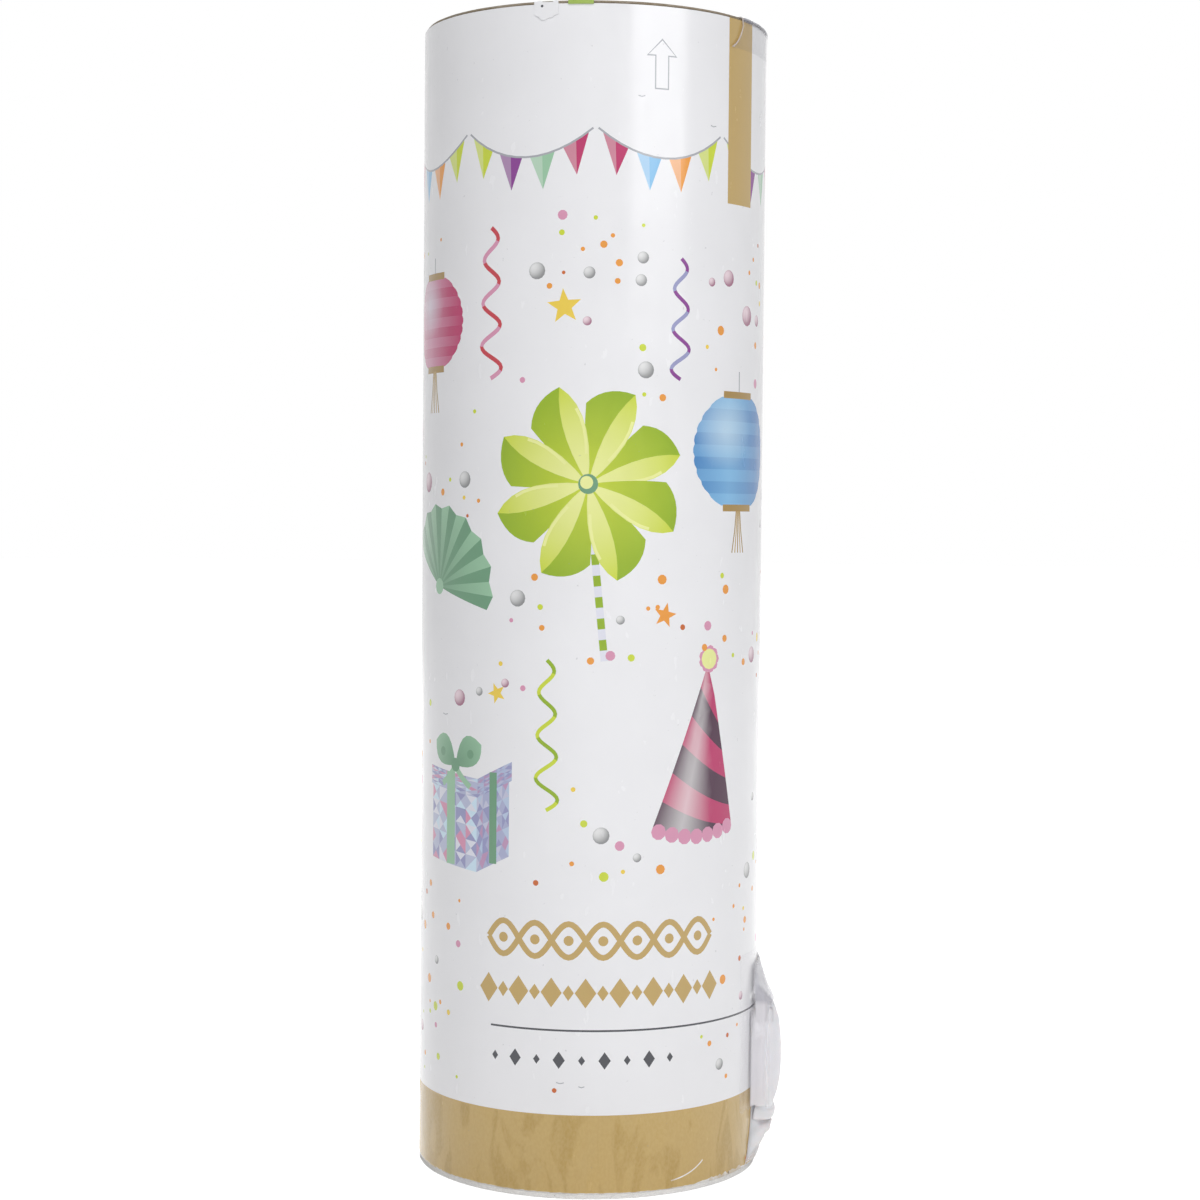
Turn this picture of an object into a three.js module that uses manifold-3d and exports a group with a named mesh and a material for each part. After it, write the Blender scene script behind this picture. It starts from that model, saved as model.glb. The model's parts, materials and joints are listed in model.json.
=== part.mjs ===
// A table party popper: a card tube in a paper label, with a foot disc glued below and a loose lid on top.
// A balloon in the foot is blown up through a neck that comes out under the tube's wall and is folded up
// against it under clear tape. The balloon lifts a card pusher, which pushes out the favours and the lid.
// Sizes are in millimetres, +Z is up, the origin is the middle of the foot disc's underside, and the
// balloon's neck lies on the +X side. The front, where the label's print faces the viewer, is close to -Y.
import * as THREE from "three";
import { mergeVertices } from "three/addons/utils/BufferGeometryUtils.js";
import Module from "manifold-3d";

const wasm = await Module();
wasm.setup();

// Tube, label, foot and lid
const popperHeight = 238;
const popperDiameter = 72;
const labelThickness = 0.3;
const labelClearance = 0.2;
const tubeWall = 2;
const footThickness = 1.2;
const lidThickness = 1;
const seatClearance = 0.3;
const notchWidth = 21;
const notchHeight = 5;
const notchOvercut = 0.5;

// Tabs that hold the lid
const tabThickness = 0.25;
const greenTabWidth = 5;
const greenTabReach = 10;
const greenTabDrop = 1.1;
const greenTabAzimuth = -100;
const clearTabWidth = 19;
const clearTabReach = 9;
const clearTabDrop = 6.5;
const clearTabAzimuth = -24;

// Balloon in the foot, and its neck folded up the wall
const balloonRadius = 27;
const balloonHeight = 44.5;
const balloonFolds = 7;
const balloonFoldDepth = 0.07;
const neckWidth = 28;
const neckRootWidth = 19;
const neckRootReach = 20;
const neckRootRise = 1.6;
const neckLayerThickness = 1.9;
const neckInnerLength = 29;
const neckMouthHeight = 7;
const neckBulgeHeight = 20;
const neckBulgeThickness = 3;
const neckRimDiameter = 2.7;
const neckRimRounding = 0.3;
const neckRimGroove = 1;
const neckFoldRounding = 2.2;
const neckEdgeShare = 0.5;

// Clear tape over the neck
const tapeThickness = 0.25;
const tapeBottom = 11.5;
const tapeTop = 46;
const tapeSlopeTop = 42;
const tapeWing = 3.2;
const tapeBridge = 4.5;
const tapeLowShare = 0.78;

// Pusher, and the room under the lid that stays empty
const pusherThickness = 2;
const pusherClearance = 0.5;
const mouthHeadroom = 9.7;

// Streamer rolls, stacked below and above the other favours
const rollDiameter = 52;
const rollBore = 9;
const rollHeight = 9;
const lowerRolls = 4;
const upperRolls = 4;

// Light balls around the mouthpieces, as large as the room there allows
const ballLayers = 2;
const ballPlaces = 8;
const ballClearance = 0.5;

// Blowouts, as long as the room between the two stacks of rolls
const hornClearance = 1;
const mouthpieceLipDiameter = 8;
const mouthpieceEndDiameter = 10;
const mouthpieceBore = 5;
const collarHeight = 9;
const collarThickness = 0.7;
const coilDiameter = 38;
const coilWidth = 16;

// Blowpipes
const pipeDiameter = 8;
const pipeBore = 6;
const pipeClearance = 2;

// Crowns and mask, bent against the tube's wall
const foldedThickness = 1;
const wallClearance = 0.7;
const crownSpan = 120;
const crownHeights = [118, 104];
const crownToothHeight = 22;
const crownTeeth = [5, 4];
const maskThickness = 0.8;
const maskLength = 164;
const maskWidth = 50;
const maskWaist = 0.62;
const maskNose = -0.19;
const maskSheetMargin = 4;
const maskEyeSpacing = 70;
const maskEyeLength = 30;
const maskEyeWidth = 16;

// Fineness
const tubeFacets = 96;
const rollFacets = 36;
const smallFacets = 20;
const neckSteps = 16;
const tapeSteps = 32;
const contactClearance = 0.3;

// Sizes that follow from those above
const bodyRadius = popperDiameter / 2;
const tubeRadius = bodyRadius - labelThickness - labelClearance;
const boreRadius = tubeRadius - tubeWall;
const lidUnderside = popperHeight - lidThickness;
const tubeTop = lidUnderside - seatClearance;
const neckHalfAngle = neckWidth / 2 / bodyRadius;
const neckInnerFace = bodyRadius + contactClearance;
const neckRootFloor = footThickness + contactClearance;
const neckRootTop = neckRootFloor + neckLayerThickness + neckRootRise;
const neckInnerBottom = neckRootTop + contactClearance;
const neckInnerTop = neckInnerBottom + neckInnerLength;
const neckRimTop = neckMouthHeight + neckRimDiameter + neckRimGroove;
const balloonBottom = footThickness + contactClearance;
const pusherUnderside = balloonBottom + balloonHeight + contactClearance;
const contentsFloor = pusherUnderside + pusherThickness;
const crownInside = boreRadius - wallClearance - 2 * foldedThickness - contactClearance;
const lowerTop = contentsFloor + lowerRolls * (rollHeight + contactClearance);
const hornTop = lidUnderside - mouthHeadroom - upperRolls * (rollHeight + contactClearance);
const hornSpacing = coilWidth + hornClearance;
const mouthpieceReach = (hornSpacing + mouthpieceEndDiameter) / 2;
const ballDiameter = crownInside - mouthpieceReach - 2 * ballClearance;
const pipeSpacing = coilDiameter + pipeDiameter + 2 * pipeClearance;

const materials = {
  label: material(0xeceae6, 0.28, 0),
  greyboard: material(0xa79c8c, 0.9, 0),
  lid: material(0xb3a999, 0.9, 0),
  greenPaper: material(0x4f8f3a, 0.7, 0),
  tape: material(0xe6e8e6, 0.15, 0),
  latex: material(0xe9e6e2, 0.5, 0),
  mouthpiece: material(0xf2efe6, 0.35, 0),
  foil: material(0xd9b45a, 0.3, 0.8),
  mask: material(0xb9bfd8, 0.35, 0.4),
};
const paperColours = [0xc2306b, 0x6fb1e0, 0xeba13a, 0xc8d42e, 0x8a3a8a, 0x6ec1c6, 0xd07a50, 0xf0e9e0];

function material(color, roughness, metalness) {
  return new THREE.MeshStandardMaterial({ color, roughness, metalness });
}

function paper(index) {
  return material(paperColours[index % paperColours.length], 0.75, 0);
}

function node(name, geometry, look) {
  const mesh = new THREE.Mesh(geometry, look);
  mesh.name = name;
  return mesh;
}

// Solids for joining and cutting

function solidFrom(geometry) {
  const plain = new THREE.BufferGeometry();
  const loose = geometry.index ? geometry.toNonIndexed() : geometry;
  plain.setAttribute("position", loose.getAttribute("position"));
  const merged = mergeVertices(plain, 1e-4);
  const vertProperties = merged.attributes.position.array;
  const triVerts = new Uint32Array(merged.index.array);
  return new wasm.Manifold(new wasm.Mesh({ numProp: 3, vertProperties, triVerts }));
}

function geometryFrom(solid) {
  const mesh = solid.getMesh();
  const geometry = new THREE.BufferGeometry();
  geometry.setAttribute("position", new THREE.BufferAttribute(mesh.vertProperties, 3));
  geometry.setIndex(new THREE.BufferAttribute(mesh.triVerts, 1));
  return geometry;
}

// A ring or disc turned about the Z axis; profile is a closed run of [radius, height] points.
function turned(profile, facets) {
  const points = profile.map(([radius, height]) => new THREE.Vector2(radius, height));
  const lathe = new THREE.LatheGeometry(points, facets);
  lathe.rotateX(Math.PI / 2);
  return lathe;
}

function disc(radius, low, high) {
  return turned([[0, low], [radius, low], [radius, high], [0, high]], tubeFacets);
}

function ring(inner, outer, low, high, facets) {
  return turned([[inner, low], [outer, low], [outer, high], [inner, high], [inner, low]], facets);
}

// A solid swept part of the way round the Z axis. profileAt gives, for an angle in radians, a closed run of
// [radius, height] points that goes anticlockwise with the radius to the right and the height up.
function sweptRound(profileAt, startAngle, endAngle, steps) {
  const corners = [];
  const faces = [];
  const count = profileAt(startAngle).length;
  for (let step = 0; step <= steps; step += 1) {
    const angle = startAngle + ((endAngle - startAngle) * step) / steps;
    for (const [radius, height] of profileAt(angle)) {
      corners.push(radius * Math.cos(angle), radius * Math.sin(angle), height);
    }
  }
  for (let step = 0; step < steps; step += 1) {
    for (let point = 0; point < count; point += 1) {
      const next = (point + 1) % count;
      const near = step * count;
      const far = near + count;
      faces.push(near + point, far + point, far + next);
      faces.push(near + point, far + next, near + next);
    }
  }
  const last = steps * count;
  for (const [a, b, c] of capFaces(profileAt(startAngle))) {
    faces.push(a, b, c);
  }
  for (const [a, b, c] of capFaces(profileAt(endAngle))) {
    faces.push(last + a, last + c, last + b);
  }
  const geometry = new THREE.BufferGeometry();
  geometry.setAttribute("position", new THREE.Float32BufferAttribute(corners, 3));
  geometry.setIndex(faces);
  return geometry;
}

function capFaces(profile) {
  const outline = profile.map(([radius, height]) => new THREE.Vector2(radius, height));
  return THREE.ShapeUtils.triangulateShape(outline, []);
}

// Tube, label, foot and lid

// The gap under the tube's wall and label where the balloon's neck comes out.
function notchCutter() {
  const depth = bodyRadius;
  const top = footThickness + notchHeight;
  const start = Math.sqrt(boreRadius ** 2 - (notchWidth / 2) ** 2) - notchOvercut;
  const box = new THREE.BoxGeometry(depth, notchWidth, 2 * top);
  box.translate(start + depth / 2, 0, 0);
  return solidFrom(box);
}

function outerTube() {
  const tube = solidFrom(ring(boreRadius, tubeRadius, footThickness, tubeTop, tubeFacets));
  return node("outer_tube", geometryFrom(tube.subtract(notchCutter())), materials.greyboard);
}

function printedLabel() {
  const sleeve = solidFrom(ring(bodyRadius - labelThickness, bodyRadius, footThickness, tubeTop, tubeFacets));
  return node("printed_label", geometryFrom(sleeve.subtract(notchCutter())), materials.label);
}

function bottomDisc() {
  return node("bottom_disc", disc(bodyRadius, 0, footThickness), materials.greyboard);
}

function lidDisc() {
  return node("lid_disc", disc(bodyRadius, lidUnderside, popperHeight), materials.lid);
}

// A thin tab stuck on the lid, over its edge and down the outside.
function lidTab(name, width, reach, drop, azimuth, look) {
  const halfAngle = width / 2 / bodyRadius;
  const middle = THREE.MathUtils.degToRad(azimuth);
  const onTop = popperHeight + contactClearance;
  const outside = bodyRadius + contactClearance;
  const profile = [
    [outside, popperHeight - drop],
    [outside + tabThickness, popperHeight - drop],
    [outside + tabThickness, onTop + tabThickness],
    [bodyRadius - reach, onTop + tabThickness],
    [bodyRadius - reach, onTop],
    [outside, onTop],
  ];
  return node(name, sweptRound(() => profile, middle - halfAngle, middle + halfAngle, 6), look);
}

// Balloon and neck

// The slack balloon lies in the foot as a loose bag with upright folds.
function balloonBody() {
  const geometry = new THREE.SphereGeometry(1, 28, 16);
  geometry.rotateX(Math.PI / 2);
  const place = geometry.getAttribute("position");
  for (let i = 0; i < place.count; i += 1) {
    const azimuth = Math.atan2(place.getY(i), place.getX(i));
    const fold = 1 + balloonFoldDepth * Math.cos(balloonFolds * azimuth);
    const x = place.getX(i) * balloonRadius * fold;
    const y = place.getY(i) * balloonRadius * fold;
    place.setXYZ(i, x, y, balloonBottom + (balloonHeight * (1 + place.getZ(i))) / 2);
  }
  return node("balloon_body", geometry, materials.latex);
}

// The neck's first stretch, from inside the foot, out under the wall and up to the swing line.
function neckRoot() {
  const start = neckRootReach;
  const bend = neckInnerFace;
  const outer = bend + neckLayerThickness;
  const outline = new THREE.Shape();
  outline.moveTo(start, neckRootFloor);
  outline.lineTo(outer - neckLayerThickness, neckRootFloor);
  outline.absarc(bend, neckRootFloor + neckLayerThickness, neckLayerThickness, -Math.PI / 2, 0, false);
  outline.lineTo(outer, neckRootTop);
  outline.lineTo(bend, neckRootTop);
  outline.lineTo(bend, neckRootFloor + neckLayerThickness);
  outline.lineTo(start, neckRootFloor + neckLayerThickness);
  const across = { depth: neckRootWidth, bevelEnabled: false, curveSegments: 5 };
  const geometry = new THREE.ExtrudeGeometry(outline, across);
  geometry.rotateX(Math.PI / 2);
  geometry.translate(0, neckRootWidth / 2, 0);
  return node("balloon_neck_root", geometry, materials.latex);
}

// How much of its full thickness a flattened layer has at an angle from its middle: less at its sides.
function layerShare(angle) {
  const across = Math.min(1, Math.abs(angle) / neckHalfAngle);
  return neckEdgeShare + (1 - neckEdgeShare) * (1 - across ** 3);
}

function innerLayerFace(angle) {
  return neckInnerFace + neckLayerThickness * layerShare(angle);
}

function neckInner() {
  const profileAt = (angle) => {
    const outer = innerLayerFace(angle);
    return [
      [neckInnerFace, neckInnerBottom],
      [outer, neckInnerBottom],
      [outer, neckInnerTop - neckLayerThickness / 2],
      [outer - (outer - neckInnerFace) / 3, neckInnerTop],
      [neckInnerFace, neckInnerTop],
    ];
  };
  const shape = sweptRound(profileAt, -neckHalfAngle, neckHalfAngle, neckSteps);
  return node("balloon_neck_inner", shape, materials.latex);
}

// Heights up the outer layer, each with its thickness there as a share of the bulge's.
const outerLayerStations = [
  [neckRimTop, 0.55],
  [(neckRimTop + neckBulgeHeight) / 2, 0.9],
  [neckBulgeHeight, 1],
  [(neckBulgeHeight + neckInnerTop) / 2, 0.88],
  [neckInnerTop - neckFoldRounding, 0.6],
  [neckInnerTop, 0.3],
];

function outerLayerFace(angle, share) {
  return innerLayerFace(angle) + contactClearance + neckBulgeThickness * share * layerShare(angle);
}

// The neck's last stretch, folded back down over the first, with the balloon's rolled rim at its lower end.
function neckOuter() {
  const profileAt = (angle) => {
    const inside = innerLayerFace(angle) + contactClearance;
    const rim = neckRimDiameter * layerShare(angle);
    const shoulder = rim * (1 - neckRimRounding);
    const corner = neckRimDiameter * neckRimRounding;
    const rimTop = neckMouthHeight + neckRimDiameter;
    return [
      [inside, neckMouthHeight],
      [inside + shoulder, neckMouthHeight],
      [inside + rim, neckMouthHeight + corner],
      [inside + rim, rimTop - corner],
      [inside + shoulder, rimTop],
      ...outerLayerStations.map(([height, share]) => [outerLayerFace(angle, share), height]),
      [inside, neckInnerTop],
    ];
  };
  const shape = sweptRound(profileAt, -neckHalfAngle, neckHalfAngle, neckSteps);
  return node("balloon_neck_outer", shape, materials.latex);
}

// The tape's inner face: over the neck, then down to the wall at both sides and above the fold.
function tapeFace(angle, share) {
  const wall = bodyRadius + contactClearance;
  const edge = neckHalfAngle + contactClearance / bodyRadius;
  const bridge = tapeBridge / bodyRadius;
  const down = Math.min(1, Math.max(0, (Math.abs(angle) - edge) / bridge));
  const over = outerLayerFace(Math.min(Math.abs(angle), neckHalfAngle), share) + contactClearance;
  return over + (wall - over) * down;
}

function clearTape() {
  const wall = bodyRadius + contactClearance;
  const reach = neckHalfAngle + (contactClearance + tapeBridge + tapeWing) / bodyRadius;
  const profileAt = (angle) => {
    const inner = [
      [tapeFace(angle, tapeLowShare), tapeBottom],
      ...outerLayerStations.slice(1).map(([height, share]) => [tapeFace(angle, share), height]),
      [wall, tapeSlopeTop],
      [wall, tapeTop],
    ];
    const outer = inner.map(([radius, height]) => [radius + tapeThickness, height]);
    return [...outer, ...inner.reverse()];
  };
  return node("clear_tape", sweptRound(profileAt, -reach, reach, tapeSteps), materials.tape);
}

// Pusher and favours

function pusherDisc() {
  const shape = disc(boreRadius - pusherClearance, pusherUnderside, contentsFloor);
  return node("pusher_disc", shape, materials.greyboard);
}

// A stack of streamer rolls that stands on a height.
function addRolls(group, first, count, floor) {
  for (let i = 0; i < count; i += 1) {
    const low = floor + contactClearance + i * (rollHeight + contactClearance);
    const number = first + i;
    const shape = ring(rollBore / 2, rollDiameter / 2, low, low + rollHeight, rollFacets);
    group.add(node("streamer_roll_" + number, shape, paper(number)));
  }
}

// Layers of balls round the mouthpieces, with the two places that the blowpipes take left free.
function addBalls(group) {
  const radius = ballDiameter / 2;
  const circle = crownInside - ballClearance - radius;
  let number = 1;
  for (let layer = 0; layer < ballLayers; layer += 1) {
    const height = lowerTop + contactClearance + radius + layer * (ballDiameter + contactClearance);
    for (let place = 0; place < ballPlaces; place += 1) {
      const turn = place / ballPlaces;
      if (turn === 0.25 || turn === 0.75) {
        continue;
      }
      const angle = 2 * Math.PI * turn;
      const ball = node("ball_" + number, new THREE.SphereGeometry(radius, 12, 8), paper(number * 3));
      ball.position.set(circle * Math.cos(angle), circle * Math.sin(angle), height);
      group.add(ball);
      number += 1;
    }
  }
}

// A blowout stands on its mouthpiece, with its paper tongue rolled up above.
function addHorn(group, number, x) {
  const low = lowerTop + contactClearance;
  const high = hornTop - coilDiameter - contactClearance;
  const lip = mouthpieceLipDiameter / 2;
  const end = mouthpieceEndDiameter / 2;
  const bore = mouthpieceBore / 2;
  const tube = [[bore, low], [lip, low], [end, high - collarHeight], [end, high], [bore, high], [bore, low]];
  const mouthpiece = node("horn_" + number + "_mouthpiece", turned(tube, smallFacets), materials.mouthpiece);
  const collarInside = end + contactClearance;
  const band = ring(collarInside, collarInside + collarThickness, high - collarHeight, high, smallFacets);
  const collar = node("horn_" + number + "_collar", band, materials.foil);
  const coilRadius = coilDiameter / 2;
  const roll = new THREE.CylinderGeometry(coilRadius, coilRadius, coilWidth, rollFacets);
  roll.rotateZ(Math.PI / 2);
  const coil = node("horn_" + number + "_coil", roll, paper(number + 2));
  mouthpiece.position.x = x;
  collar.position.x = x;
  coil.position.set(x, 0, high + contactClearance + coilRadius);
  group.add(mouthpiece, collar, coil);
}

function addPipe(group, number, y) {
  const shape = ring(pipeBore / 2, pipeDiameter / 2, lowerTop + contactClearance, hornTop, smallFacets);
  const pipe = node("blowpipe_" + number, shape, paper(number + 4));
  pipe.position.y = y;
  group.add(pipe);
}

// A folded paper crown, bent against the wall on the neck's side, with a toothed upper edge.
function paperCrown(number, outer, height, teeth, look) {
  const half = THREE.MathUtils.degToRad(crownSpan) / 2;
  const low = contentsFloor + contactClearance;
  const profileAt = (angle) => {
    const along = ((angle + half) / (2 * half)) * teeth;
    const tooth = 1 - Math.abs(2 * (along - Math.floor(along)) - 1);
    const high = low + height + crownToothHeight * tooth;
    return [[outer - foldedThickness, low], [outer, low], [outer, high], [outer - foldedThickness, high]];
  };
  return node("paper_crown_" + number, sweptRound(profileAt, -half, half, teeth * 4), look);
}

// The mask's right side, from the middle of its upper edge round its end to the middle of its lower edge.
// Each curve has a pull and an end, as shares of the mask's half length and half width.
const maskStart = [0, maskWaist];
const maskCurves = [
  { pull: [0.35, 1], end: [0.75, 1] },
  { pull: [1, 1], end: [1, 0.4] },
  { pull: [0.9, -1], end: [0.42, -1] },
  { pull: [0.14, -1], end: [0, maskNose] },
];

// The whole outline: the right side, then its mirror image drawn backwards.
function maskOutline() {
  const tip = maskLength / 2;
  const half = maskWidth / 2;
  const outline = new THREE.Shape();
  const curve = (side, pull, end) => {
    outline.quadraticCurveTo(side * tip * pull[0], half * pull[1], side * tip * end[0], half * end[1]);
  };
  outline.moveTo(tip * maskStart[0], half * maskStart[1]);
  maskCurves.forEach(({ pull, end }) => curve(1, pull, end));
  for (let i = maskCurves.length - 1; i >= 0; i -= 1) {
    curve(-1, maskCurves[i].pull, i > 0 ? maskCurves[i - 1].end : maskStart);
  }
  for (const side of [-1, 1]) {
    const eye = new THREE.Path();
    eye.absellipse((side * maskEyeSpacing) / 2, 0, maskEyeLength / 2, maskEyeWidth / 2, 0, 2 * Math.PI);
    outline.holes.push(eye);
  }
  return outline;
}

// The half mask stands on its end, bent against the wall on the side away from the neck.
function dominoMask() {
  const outer = boreRadius - wallClearance;
  const low = contentsFloor + contactClearance;
  const high = low + maskLength;
  const span = Math.asin(maskWidth / 2 / outer) + maskSheetMargin / outer;
  const profile = [[outer - maskThickness, low], [outer, low], [outer, high], [outer - maskThickness, high]];
  const sheet = solidFrom(sweptRound(() => profile, Math.PI - span, Math.PI + span, neckSteps));
  const depth = boreRadius;
  const prism = new THREE.ExtrudeGeometry(maskOutline(), { depth, bevelEnabled: false, curveSegments: 7 });
  const upright = new THREE.Matrix4().makeBasis(
    new THREE.Vector3(0, 0, 1),
    new THREE.Vector3(0, 1, 0),
    new THREE.Vector3(-1, 0, 0),
  );
  prism.applyMatrix4(upright);
  prism.translate(0, 0, low + maskLength / 2);
  return node("domino_mask", geometryFrom(sheet.intersect(solidFrom(prism))), materials.mask);
}

// Assembly

const shell = new THREE.Group();
shell.add(outerTube(), printedLabel(), bottomDisc(), balloonBody(), neckRoot());

const neck = new THREE.Group();
neck.add(neckInner(), neckOuter(), clearTape());

const lid = new THREE.Group();
lid.add(
  lidDisc(),
  lidTab("lid_tab_green", greenTabWidth, greenTabReach, greenTabDrop, greenTabAzimuth, materials.greenPaper),
  lidTab("lid_tab_clear", clearTabWidth, clearTabReach, clearTabDrop, clearTabAzimuth, materials.tape),
);

const favours = new THREE.Group();
favours.add(pusherDisc(), dominoMask());
crownHeights.forEach((height, i) => {
  const outer = boreRadius - wallClearance - i * (foldedThickness + contactClearance);
  favours.add(paperCrown(i + 1, outer, height, crownTeeth[i], i ? materials.foil : paper(5)));
});
addRolls(favours, 1, lowerRolls, contentsFloor);
addBalls(favours);
[-1, 1].forEach((side, i) => {
  addHorn(favours, i + 1, (side * hornSpacing) / 2);
  addPipe(favours, i + 1, (side * pipeSpacing) / 2);
});
addRolls(favours, 1 + lowerRolls, upperRolls, hornTop);

const popper = new THREE.Group();
popper.add(shell, neck, favours, lid);

export default popper;
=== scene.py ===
# Looks for the table party popper: a card tube in a glossy printed label, with a greyboard foot and lid, the
# balloon's latex neck folded up its wall under clear tape, and the party favours inside.
# Lengths are in millimetres and become metres where a mesh is made. The neck lies on the +X side, and the
# label is unrolled as (u, v): u is the arc from the line that faces the camera, v is the height.
import json
import math
import random

import bpy
import bmesh
import numpy as np
from mathutils import Matrix, Vector, noise
from mathutils.geometry import delaunay_2d_cdt


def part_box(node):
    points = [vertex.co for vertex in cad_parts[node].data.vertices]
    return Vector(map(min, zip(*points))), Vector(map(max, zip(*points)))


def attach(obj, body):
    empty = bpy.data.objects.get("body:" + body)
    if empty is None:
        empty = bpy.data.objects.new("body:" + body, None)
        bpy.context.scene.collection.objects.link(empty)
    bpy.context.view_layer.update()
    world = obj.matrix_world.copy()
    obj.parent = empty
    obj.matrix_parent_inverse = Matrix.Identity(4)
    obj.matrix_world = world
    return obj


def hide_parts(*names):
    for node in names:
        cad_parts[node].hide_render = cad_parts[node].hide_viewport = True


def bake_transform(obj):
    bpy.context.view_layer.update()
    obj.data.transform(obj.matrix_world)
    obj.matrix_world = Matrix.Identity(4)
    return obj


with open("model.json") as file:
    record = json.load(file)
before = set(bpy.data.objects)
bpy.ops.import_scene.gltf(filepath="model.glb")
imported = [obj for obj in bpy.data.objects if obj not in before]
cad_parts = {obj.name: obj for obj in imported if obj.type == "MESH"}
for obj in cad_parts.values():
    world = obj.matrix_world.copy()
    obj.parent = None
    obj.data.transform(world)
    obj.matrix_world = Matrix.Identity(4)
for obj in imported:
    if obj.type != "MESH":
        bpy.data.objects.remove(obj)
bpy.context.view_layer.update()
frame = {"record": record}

MM = 0.001
SLOTS = {row["node"]: row["material_slot"] for row in frame["record"]["subparts"]}


def low_corner(node):
    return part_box(node)[0] / MM


def high_corner(node):
    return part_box(node)[1] / MM


# Sizes: read from the frame where it gives them. The tube's wall, the label's thickness and the notch for the
# neck repeat the part's, and the lid's height above the label is the photograph's.
BODY_RADIUS = high_corner("printed_label").y
TUBE_RADIUS = high_corner("outer_tube").y
TUBE_WALL = 2.0
BORE_RADIUS = TUBE_RADIUS - TUBE_WALL
LABEL_LOW = low_corner("printed_label").z
LABEL_THICKNESS = 0.3
LID_TOP = high_corner("lid_disc").z
LID_ABOVE_LABEL = 0.7
RIM_HEIGHT = LID_TOP - LID_ABOVE_LABEL
NOTCH_WIDTH = 21.0
NOTCH_HEIGHT = 5.0
NOTCH_TOP = LABEL_LOW + NOTCH_HEIGHT
HALF_ROUND = math.pi * BODY_RADIUS

# The camera, as the photograph's outline of the tube gives it
FRONT_AZIMUTH = math.radians(-95)
CAMERA_DISTANCE = 505.8
CAMERA_OFFSET = -2.6
CAMERA_HEIGHT = 137.4
CAMERA_TURN = math.radians(0.504)
CAMERA_PITCH = math.radians(2.113)
CAMERA_ROLL = math.radians(0.467)
CAMERA_LENS = 71.2


def azimuth_of(u):
    """The direction, seen from above, of a place on the label."""
    return FRONT_AZIMUTH + u / BODY_RADIUS


def arc_to(azimuth_degrees):
    """The label's u at a direction."""
    return (math.radians(azimuth_degrees) - FRONT_AZIMUTH) * BODY_RADIUS


def polar(u, v, radius, angle):
    return (u + radius * math.cos(angle), v + radius * math.sin(angle))


def around(radius, angle, height):
    """The point at a distance from the Z axis, in a direction and at a height."""
    return (radius * math.cos(angle), radius * math.sin(angle), height)


def mixed(first, second, share):
    share = min(1.0, max(0.0, share))
    return tuple(a + (b - a) * share for a, b in zip(first, second))


def eased(value, start, end):
    """From 0 at start to 1 at end, smoothly at both ends."""
    share = min(1.0, max(0.0, (value - start) / (end - start)))
    return share * share * (3 - 2 * share)


def lighter(colour, share):
    return mixed(colour, (1, 1, 1), share)


def darker(colour, share):
    return mixed(colour, (0, 0, 0), share)


def linked(name, data):
    """A new object for its data, put in the scene."""
    made = bpy.data.objects.new(name, data)
    bpy.context.scene.collection.objects.link(made)
    return made


def ink(code):
    """A colour written as in a paint program, made linear for the renderer."""
    parts = [int(code[i:i + 2], 16) / 255 for i in (0, 2, 4)]
    return tuple(p / 12.92 if p <= 0.04045 else ((p + 0.055) / 1.055) ** 2.4 for p in parts)


# Camera

def add_camera():
    data = bpy.data.cameras.new("camera")
    data.lens = CAMERA_LENS
    data.sensor_width = 36
    data.clip_start = 0.01
    data.clip_end = 50
    camera = linked("camera", data)
    toward = FRONT_AZIMUTH + math.pi
    ahead = Vector((math.cos(toward), math.sin(toward), 0))
    aside = Vector((math.sin(toward), -math.cos(toward), 0))
    place = -ahead * CAMERA_DISTANCE + aside * CAMERA_OFFSET + Vector((0, 0, CAMERA_HEIGHT))
    forward = ahead * math.cos(CAMERA_TURN) + aside * math.sin(CAMERA_TURN)
    right = aside * math.cos(CAMERA_TURN) - ahead * math.sin(CAMERA_TURN)
    up = Vector((0, 0, 1))
    forward, up = (
        forward * math.cos(CAMERA_PITCH) - up * math.sin(CAMERA_PITCH),
        up * math.cos(CAMERA_PITCH) + forward * math.sin(CAMERA_PITCH),
    )
    right, up = (
        right * math.cos(CAMERA_ROLL) + up * math.sin(CAMERA_ROLL),
        up * math.cos(CAMERA_ROLL) - right * math.sin(CAMERA_ROLL),
    )
    facing = Matrix((right, up, -forward)).transposed().to_4x4()
    camera.matrix_world = Matrix.Translation(place * MM) @ facing
    bpy.context.scene.camera = camera


# Materials

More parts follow.
